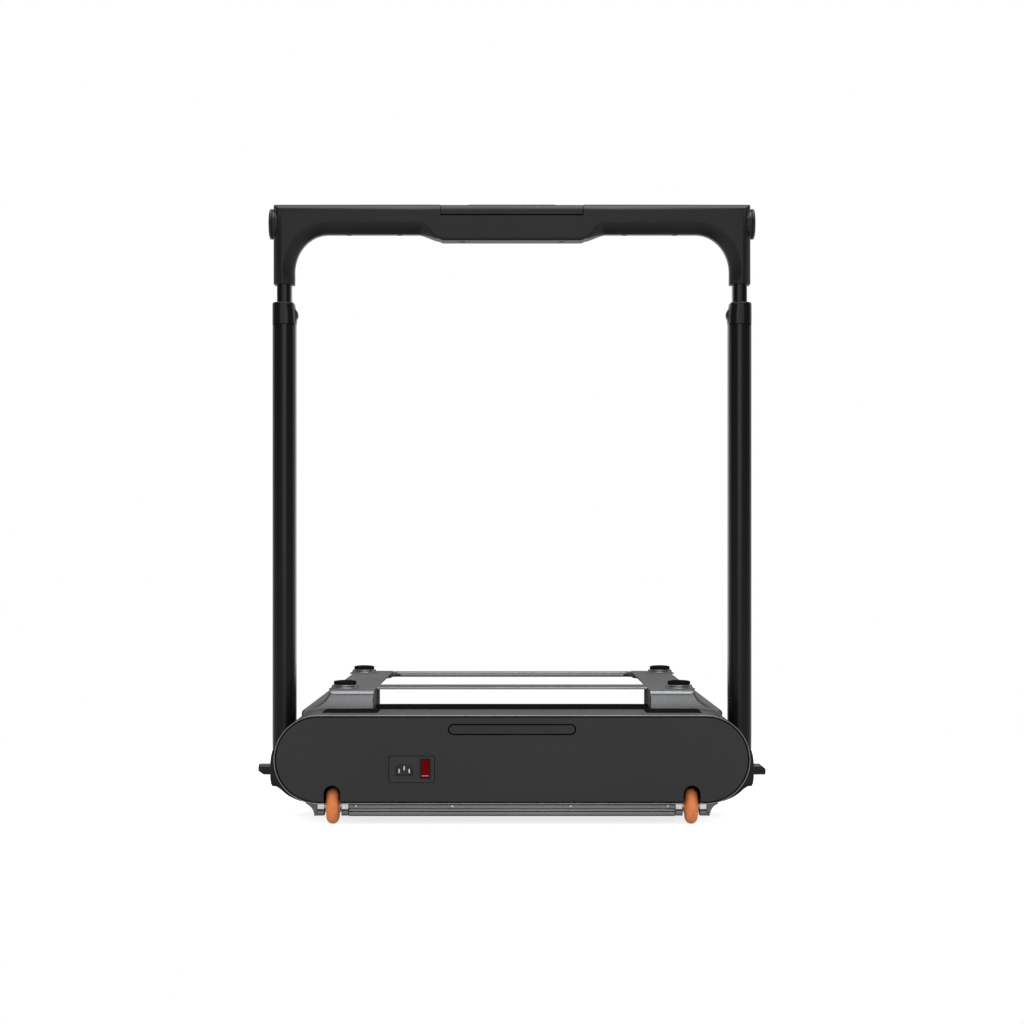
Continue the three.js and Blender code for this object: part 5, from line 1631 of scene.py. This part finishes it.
def key_symbol(name, x, y):
    """The outlines of a key's mark round its centre: a triangle, a plus or a minus."""
    if name == "key_start":
        play = Outline()
        return [play.to(x - 1.8 * MM, y - 2.2 * MM).to(x + 2.2 * MM, y).to(x - 1.8 * MM, y + 2.2 * MM)]
    bars = [(2.6 * MM, 0.5 * MM)]
    if name == "key_faster":
        bars.append((0.5 * MM, 2.6 * MM))
    return [rounded_rect(x - half_x, x + half_x, y - half_y, y + half_y, 0.3 * MM, 2)
            for half_x, half_y in bars]


def build_console(settings):
    """The console's lid with a hole for each key, the display's lens and the keys."""
    lo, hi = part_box("display_cover")
    keys = {name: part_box(name) for name in ("key_slower", "key_start", "key_faster")}
    section = Outline(0.7 * MM)
    edge = settings.bar_edge
    section.to(lo.y + 0.2 * MM, lo.z - 0.6 * MM)
    section.to(hi.y - 0.2 * MM, lo.z - 0.6 * MM)
    section.arc(hi.y - edge, hi.z - edge, edge, 0, PI / 2, 8)
    section.arc(lo.y + edge, hi.z - edge, edge, PI / 2, PI, 8)
    cover = prism("console_lid", section, "x", lo.x, hi.x, 0.6 * MM, "moulded_charcoal", 3)
    tools = []
    for key_lo, key_hi in keys.values():
        gap = 0.5 * MM
        tools.append(prism("key_hole", rounded_rect(key_lo.x - gap, key_hi.x + gap, key_lo.y - gap,
                     key_hi.y + gap, 4.4 * MM), "z", key_lo.z - 1.5 * MM, hi.z + PAST, 0.0,
                     "moulded_charcoal", 1, weighted=False))
    cover = cut(cover, *tools)
    hung(cover, "handlebar", "handle_black", "display_cover")
    lens = prism("display_lens", rounded_rect(-62 * MM, 62 * MM, lo.y + 8 * MM, lo.y + 23 * MM, 3 * MM),
                 "z", hi.z - 0.6 * MM, hi.z + 0.35 * MM, 0.3 * MM, "gloss_black", 2)
    hung(lens, "handlebar", "gloss_black")
    for name, (key_lo, key_hi) in keys.items():
        cap = prism(name + "_cap", rounded_rect(key_lo.x, key_hi.x, key_lo.y, key_hi.y, 4 * MM), "z",
                    key_lo.z, key_hi.z, 0.9 * MM, "dark_plastic", 4)
        x, y = (key_lo.x + key_hi.x) / 2, (key_lo.y + key_hi.y) / 2
        symbols = [prism("symbol", shape, "z", key_hi.z - 0.2 * MM, key_hi.z + 0.08 * MM, 0.0,
                         "symbol_white", 1) for shape in key_symbol(name, x, y)]
        hung(join(name + "_button", [cap, *symbols]), name, "dark_plastic", name)


# ------------------------------------------------------------------ carried-over nodes
def dress_nodes():
    """Puts each carried-over node's finish on it."""
    slots = {part["node"]: part.get("material_slot") for part in frame["record"]["subparts"]}
    for name, node in NODES.items():
        finish = FINISHES[SLOT_FINISHES.get(slots.get(name), "dark_plastic")]
        node.data.materials.clear()
        node.data.materials.append(finish)
        for polygon in node.data.polygons:
            polygon.use_smooth = True
        node.data.set_sharp_from_angle(angle=math.radians(32))


# ------------------------------------------------------------------ stage
CAMERA_DISTANCE = 3.7
CAMERA_HEIGHT = 0.3746
CAMERA_LENS = 94.9
CAMERA_SHIFT = 0.0392
WORLD_FILL = 0.75
FLOOR_HALF = 12.0
FLOOR_DROP = 0.4 * MM
FLOOR_FADE = (0.7, 1.7)
FLOOR_LIFT = 0.78
FLOOR_SHEEN = 0.25
# name, place, aim, width, height, radiance, and whether it lights matt surfaces too
LAMPS = (
    ("front_softbox", (0.0, -4.9, 1.5), (0.0, 0.0, 0.6), 1.5, 2.6, 3.4, True),
    ("top_softbox", (0.3, -0.5, 3.0), (0.0, 0.0, 0.2), 1.3, 1.0, 4.0, True),
    ("side_softbox", (3.2, 1.2, 1.8), (0.0, 0.0, 0.3), 1.2, 1.6, 1.2, True),
    ("sheen_board", (0.0, -0.7, 2.8), (0.0, -0.4, 0.2), 2.6, 2.4, 4.5, False),
)


def seen_rays(tree):
    """1 for camera rays, and 1 for rays off gloss or through glass."""
    path = add_node(tree, "ShaderNodeLightPath")
    gloss = Value(tree, path.outputs["Is Glossy Ray"]) + Value(tree, path.outputs["Is Transmission Ray"])
    return Value(tree, path.outputs["Is Camera Ray"]), gloss.at_most(1.0)


def floor_material():
    """A pale floor that keeps the shadow and runs out to the white of the backdrop."""
    made = Finish("pale_floor", Base_Color=(0.8, 0.8, 0.8), Roughness=0.9, Specular_IOR_Level=0.0,
                  Emission_Color=(1.0, 1.0, 1.0))
    camera_ray, shine = seen_rays(made.tree)
    made.set("Emission Strength", camera_ray * FLOOR_LIFT + shine * FLOOR_SHEEN)
    near = Value(made.tree, made.shader.outputs[0])
    far = made.node("ShaderNodeEmission", None, {"Strength": (camera_ray + shine).at_most(1.0) * 0.3 + 0.7})
    distance = made.node("ShaderNodeVectorMath", {"operation": "LENGTH"}, {0: made.point()}, "Value")
    both = made.node("ShaderNodeMixShader", None, {0: distance.between(*FLOOR_FADE), 1: near, 2: far})
    plug(made.tree, made.tree.nodes["Material Output"].inputs["Surface"], both)
    return made.material


def build_floor():
    """A wide floor just under the machine."""
    mesh = bpy.data.meshes.new("floor")
    corners = [(x * FLOOR_HALF, y * FLOOR_HALF, 0) for x, y in ((-1, -1), (1, -1), (1, 1), (-1, 1))]
    mesh.from_pydata(corners, [], [(0, 1, 2, 3)])
    mesh.materials.append(floor_material())
    floor = placed("floor", mesh)
    floor.location.z = -FLOOR_DROP


def build_world():
    """White to the camera, pale to matt surfaces, and dark to gloss but for what is behind."""
    world = bpy.data.worlds.new("studio")
    bpy.context.scene.world = world
    world.use_nodes = True
    tree = world.node_tree
    background = tree.nodes["Background"]
    plug(tree, background.inputs["Color"], (1.0, 1.0, 1.0))
    camera_ray, shine = seen_rays(tree)
    direction = Value(tree, add_node(tree, "ShaderNodeTexCoord").outputs["Generated"])
    facing = add_node(tree, "ShaderNodeSeparateXYZ", None, {0: direction})
    behind = Value(tree, facing.outputs[1]).between(-0.1, 0.5)
    plug(tree, background.inputs["Strength"],
         camera_ray + (1.0 - camera_ray) * (shine * (0.05 + 0.95 * behind) + (1.0 - shine) * WORLD_FILL))


def build_lamps():
    """The soft boxes, each aimed at its target."""
    for name, place, target, width, height, radiance, fills in LAMPS:
        light = bpy.data.lights.new(name, "AREA")
        light.shape = "RECTANGLE"
        light.size = width
        light.size_y = height
        light.energy = radiance * PI * width * height
        lamp = placed(name, light)
        lamp.location = place
        lamp.visible_diffuse = fills
        lamp.rotation_euler = (Vector(target) - Vector(place)).to_track_quat("-Z", "Y").to_euler()


def build_camera():
    """A level camera straight before the end panel."""
    camera = bpy.data.cameras.new("camera")
    camera.lens = CAMERA_LENS
    camera.sensor_width = 36.0
    camera.shift_y = CAMERA_SHIFT
    camera.clip_end = 100.0
    eye = placed("camera", camera)
    eye.location = (0.0, PANEL_Y - CAMERA_DISTANCE, CAMERA_HEIGHT)
    eye.rotation_euler = (PI / 2, 0, 0)
    bpy.context.scene.camera = eye


# ------------------------------------------------------------------ operators
class TREADMILL_OT_finishes(bpy.types.Operator):
    """Makes every finish and puts it on the frame's nodes."""

    bl_idname = "treadmill.finishes"
    bl_label = "Finishes"

    def execute(self, context):
        for maker in FINISH_MAKERS:
            FINISHES[maker.__name__] = maker(context.scene.treadmill_colours).material
        dress_nodes()
        return {"FINISHED"}


class TREADMILL_OT_stage(bpy.types.Operator):
    """Sets the floor, the lights and the camera."""

    bl_idname = "treadmill.stage"
    bl_label = "Stage"

    def execute(self, context):
        context.scene.view_settings.view_transform = "Standard"
        build_floor()
        build_world()
        build_lamps()
        build_camera()
        return {"FINISHED"}


class TREADMILL_OT_end_housing(bpy.types.Operator):
    """Builds the end housing with its panel, trim and the dark strips of painted shade on its top."""

    bl_idname = "treadmill.end_housing"
    bl_label = "End housing"

    def execute(self, context):
        build_end_housing()
        return {"FINISHED"}


class TREADMILL_OT_inlet(bpy.types.Operator):
    """Builds the mains inlet and the power rocker."""

    bl_idname = "treadmill.inlet"
    bl_label = "Inlet and switch"

    def execute(self, context):
        build_inlet()
        return {"FINISHED"}


class TREADMILL_OT_side_frames(bpy.types.Operator):
    """Builds the castings of both halves."""

    bl_idname = "treadmill.side_frames"
    bl_label = "Side frames"

    def execute(self, context):
        build_side_frames(context.scene.treadmill_sizes)
        return {"FINISHED"}


class TREADMILL_OT_foot_strips(bpy.types.Operator):
    """Builds the ribbed strips beside the belt."""

    bl_idname = "treadmill.foot_strips"
    bl_label = "Foot strips"

    def execute(self, context):
        build_foot_strips(context.scene.treadmill_sizes)
        return {"FINISHED"}


class TREADMILL_OT_feet(bpy.types.Operator):
    """Builds the feet of both halves."""

    bl_idname = "treadmill.feet"
    bl_label = "Feet"

    def execute(self, context):
        build_feet()
        return {"FINISHED"}


class TREADMILL_OT_crossbars(bpy.types.Operator):
    """Builds the crossbars beside the fold."""

    bl_idname = "treadmill.crossbars"
    bl_label = "Crossbars"

    def execute(self, context):
        build_crossbars()
        return {"FINISHED"}


class TREADMILL_OT_end_plate(bpy.types.Operator):
    """Builds the plate at the folded half's roller end."""

    bl_idname = "treadmill.end_plate"
    bl_label = "End plate"

    def execute(self, context):
        build_end_plate()
        return {"FINISHED"}


class TREADMILL_OT_front_rail(bpy.types.Operator):
    """Builds the rail under the end housing."""

    bl_idname = "treadmill.front_rail"
    bl_label = "Front rail"

    def execute(self, context):
        build_front_rail()
        return {"FINISHED"}


class TREADMILL_OT_belts(bpy.types.Operator):
    """Builds the running belt of both halves."""

    bl_idname = "treadmill.belts"
    bl_label = "Belts"

    def execute(self, context):
        build_belts()
        return {"FINISHED"}


class TREADMILL_OT_wheels(bpy.types.Operator):
    """Builds the transport wheels and their forks."""

    bl_idname = "treadmill.wheels"
    bl_label = "Wheels"

    def execute(self, context):
        build_wheels()
        return {"FINISHED"}


class TREADMILL_OT_posts(bpy.types.Operator):
    """Builds the posts with their knuckles."""

    bl_idname = "treadmill.posts"
    bl_label = "Posts"

    def execute(self, context):
        build_posts()
        return {"FINISHED"}


class TREADMILL_OT_collars(bpy.types.Operator):
    """Builds the collars on the posts."""

    bl_idname = "treadmill.collars"
    bl_label = "Collars"

    def execute(self, context):
        build_collars()
        return {"FINISHED"}


class TREADMILL_OT_height_buttons(bpy.types.Operator):
    """Builds the buttons in the collars."""

    bl_idname = "treadmill.height_buttons"
    bl_label = "Height buttons"

    def execute(self, context):
        build_height_buttons()
        return {"FINISHED"}


class TREADMILL_OT_inner_tubes(bpy.types.Operator):
    """Builds the tubes that slide in the posts."""

    bl_idname = "treadmill.inner_tubes"
    bl_label = "Inner tubes"

    def execute(self, context):
        build_inner_tubes()
        return {"FINISHED"}


class TREADMILL_OT_post_brackets(bpy.types.Operator):
    """Builds the brackets that the posts swing in."""

    bl_idname = "treadmill.post_brackets"
    bl_label = "Post brackets"

    def execute(self, context):
        build_post_brackets()
        return {"FINISHED"}


class TREADMILL_OT_lock_levers(bpy.types.Operator):
    """Builds the levers beside the brackets."""

    bl_idname = "treadmill.lock_levers"
    bl_label = "Lock levers"

    def execute(self, context):
        build_lock_levers()
        return {"FINISHED"}


class TREADMILL_OT_handlebar(bpy.types.Operator):
    """Builds the handlebar with the seat of its lid."""

    bl_idname = "treadmill.handlebar"
    bl_label = "Handlebar"

    def execute(self, context):
        build_handlebar(context.scene.treadmill_sizes)
        return {"FINISHED"}


class TREADMILL_OT_end_caps(bpy.types.Operator):
    """Builds the caps at the handlebar's ends."""

    bl_idname = "treadmill.end_caps"
    bl_label = "End caps"

    def execute(self, context):
        build_end_caps()
        return {"FINISHED"}


class TREADMILL_OT_bar_screws(bpy.types.Operator):
    """Builds the screws under the handlebar."""

    bl_idname = "treadmill.bar_screws"
    bl_label = "Bar screws"

    def execute(self, context):
        build_bar_screws()
        return {"FINISHED"}


class TREADMILL_OT_console(bpy.types.Operator):
    """Builds the console's lid, display lens and keys."""

    bl_idname = "treadmill.console"
    bl_label = "Console"

    def execute(self, context):
        build_console(context.scene.treadmill_sizes)
        return {"FINISHED"}


OPERATORS = (
    TREADMILL_OT_finishes, TREADMILL_OT_stage, TREADMILL_OT_end_housing, TREADMILL_OT_inlet,
    TREADMILL_OT_side_frames, TREADMILL_OT_foot_strips, TREADMILL_OT_feet, TREADMILL_OT_crossbars,
    TREADMILL_OT_end_plate, TREADMILL_OT_front_rail, TREADMILL_OT_belts, TREADMILL_OT_wheels,
    TREADMILL_OT_posts, TREADMILL_OT_collars, TREADMILL_OT_height_buttons,
    TREADMILL_OT_inner_tubes, TREADMILL_OT_post_brackets, TREADMILL_OT_lock_levers,
    TREADMILL_OT_handlebar, TREADMILL_OT_end_caps, TREADMILL_OT_bar_screws, TREADMILL_OT_console,
)


class TREADMILL_PT_panel(bpy.types.Panel):
    """Lists the treadmill's settings and build steps."""

    bl_label = "Folding Treadmill"
    bl_idname = "TREADMILL_PT_panel"
    bl_space_type = "VIEW_3D"
    bl_region_type = "UI"
    bl_category = "Treadmill"

    def draw(self, context):
        layout = self.layout
        for group in (context.scene.treadmill_colours, context.scene.treadmill_sizes):
            for name in group.__annotations__:
                layout.prop(group, name)
        for operator in OPERATORS:
            layout.operator(operator.bl_idname)


CLASSES = (TreadmillColours, TreadmillSizes, *OPERATORS, TREADMILL_PT_panel)


def register():
    for cls in CLASSES:
        bpy.utils.register_class(cls)
    bpy.types.Scene.treadmill_colours = bpy.props.PointerProperty(type=TreadmillColours)
    bpy.types.Scene.treadmill_sizes = bpy.props.PointerProperty(type=TreadmillSizes)


def unregister():
    del bpy.types.Scene.treadmill_sizes
    del bpy.types.Scene.treadmill_colours
    for cls in reversed(CLASSES):
        bpy.utils.unregister_class(cls)


def main():
    register()
    bpy.ops.treadmill.finishes()
    bpy.ops.treadmill.stage()
    bpy.ops.treadmill.end_housing()
    bpy.ops.treadmill.inlet()
    bpy.ops.treadmill.side_frames()
    bpy.ops.treadmill.foot_strips()
    bpy.ops.treadmill.feet()
    bpy.ops.treadmill.crossbars()
    bpy.ops.treadmill.end_plate()
    bpy.ops.treadmill.front_rail()
    bpy.ops.treadmill.belts()
    bpy.ops.treadmill.wheels()
    bpy.ops.treadmill.posts()
    bpy.ops.treadmill.collars()
    bpy.ops.treadmill.height_buttons()
    bpy.ops.treadmill.inner_tubes()
    bpy.ops.treadmill.post_brackets()
    bpy.ops.treadmill.lock_levers()
    bpy.ops.treadmill.handlebar()
    bpy.ops.treadmill.end_caps()
    bpy.ops.treadmill.bar_screws()
    bpy.ops.treadmill.console()


if __name__ == "__main__":
    main()
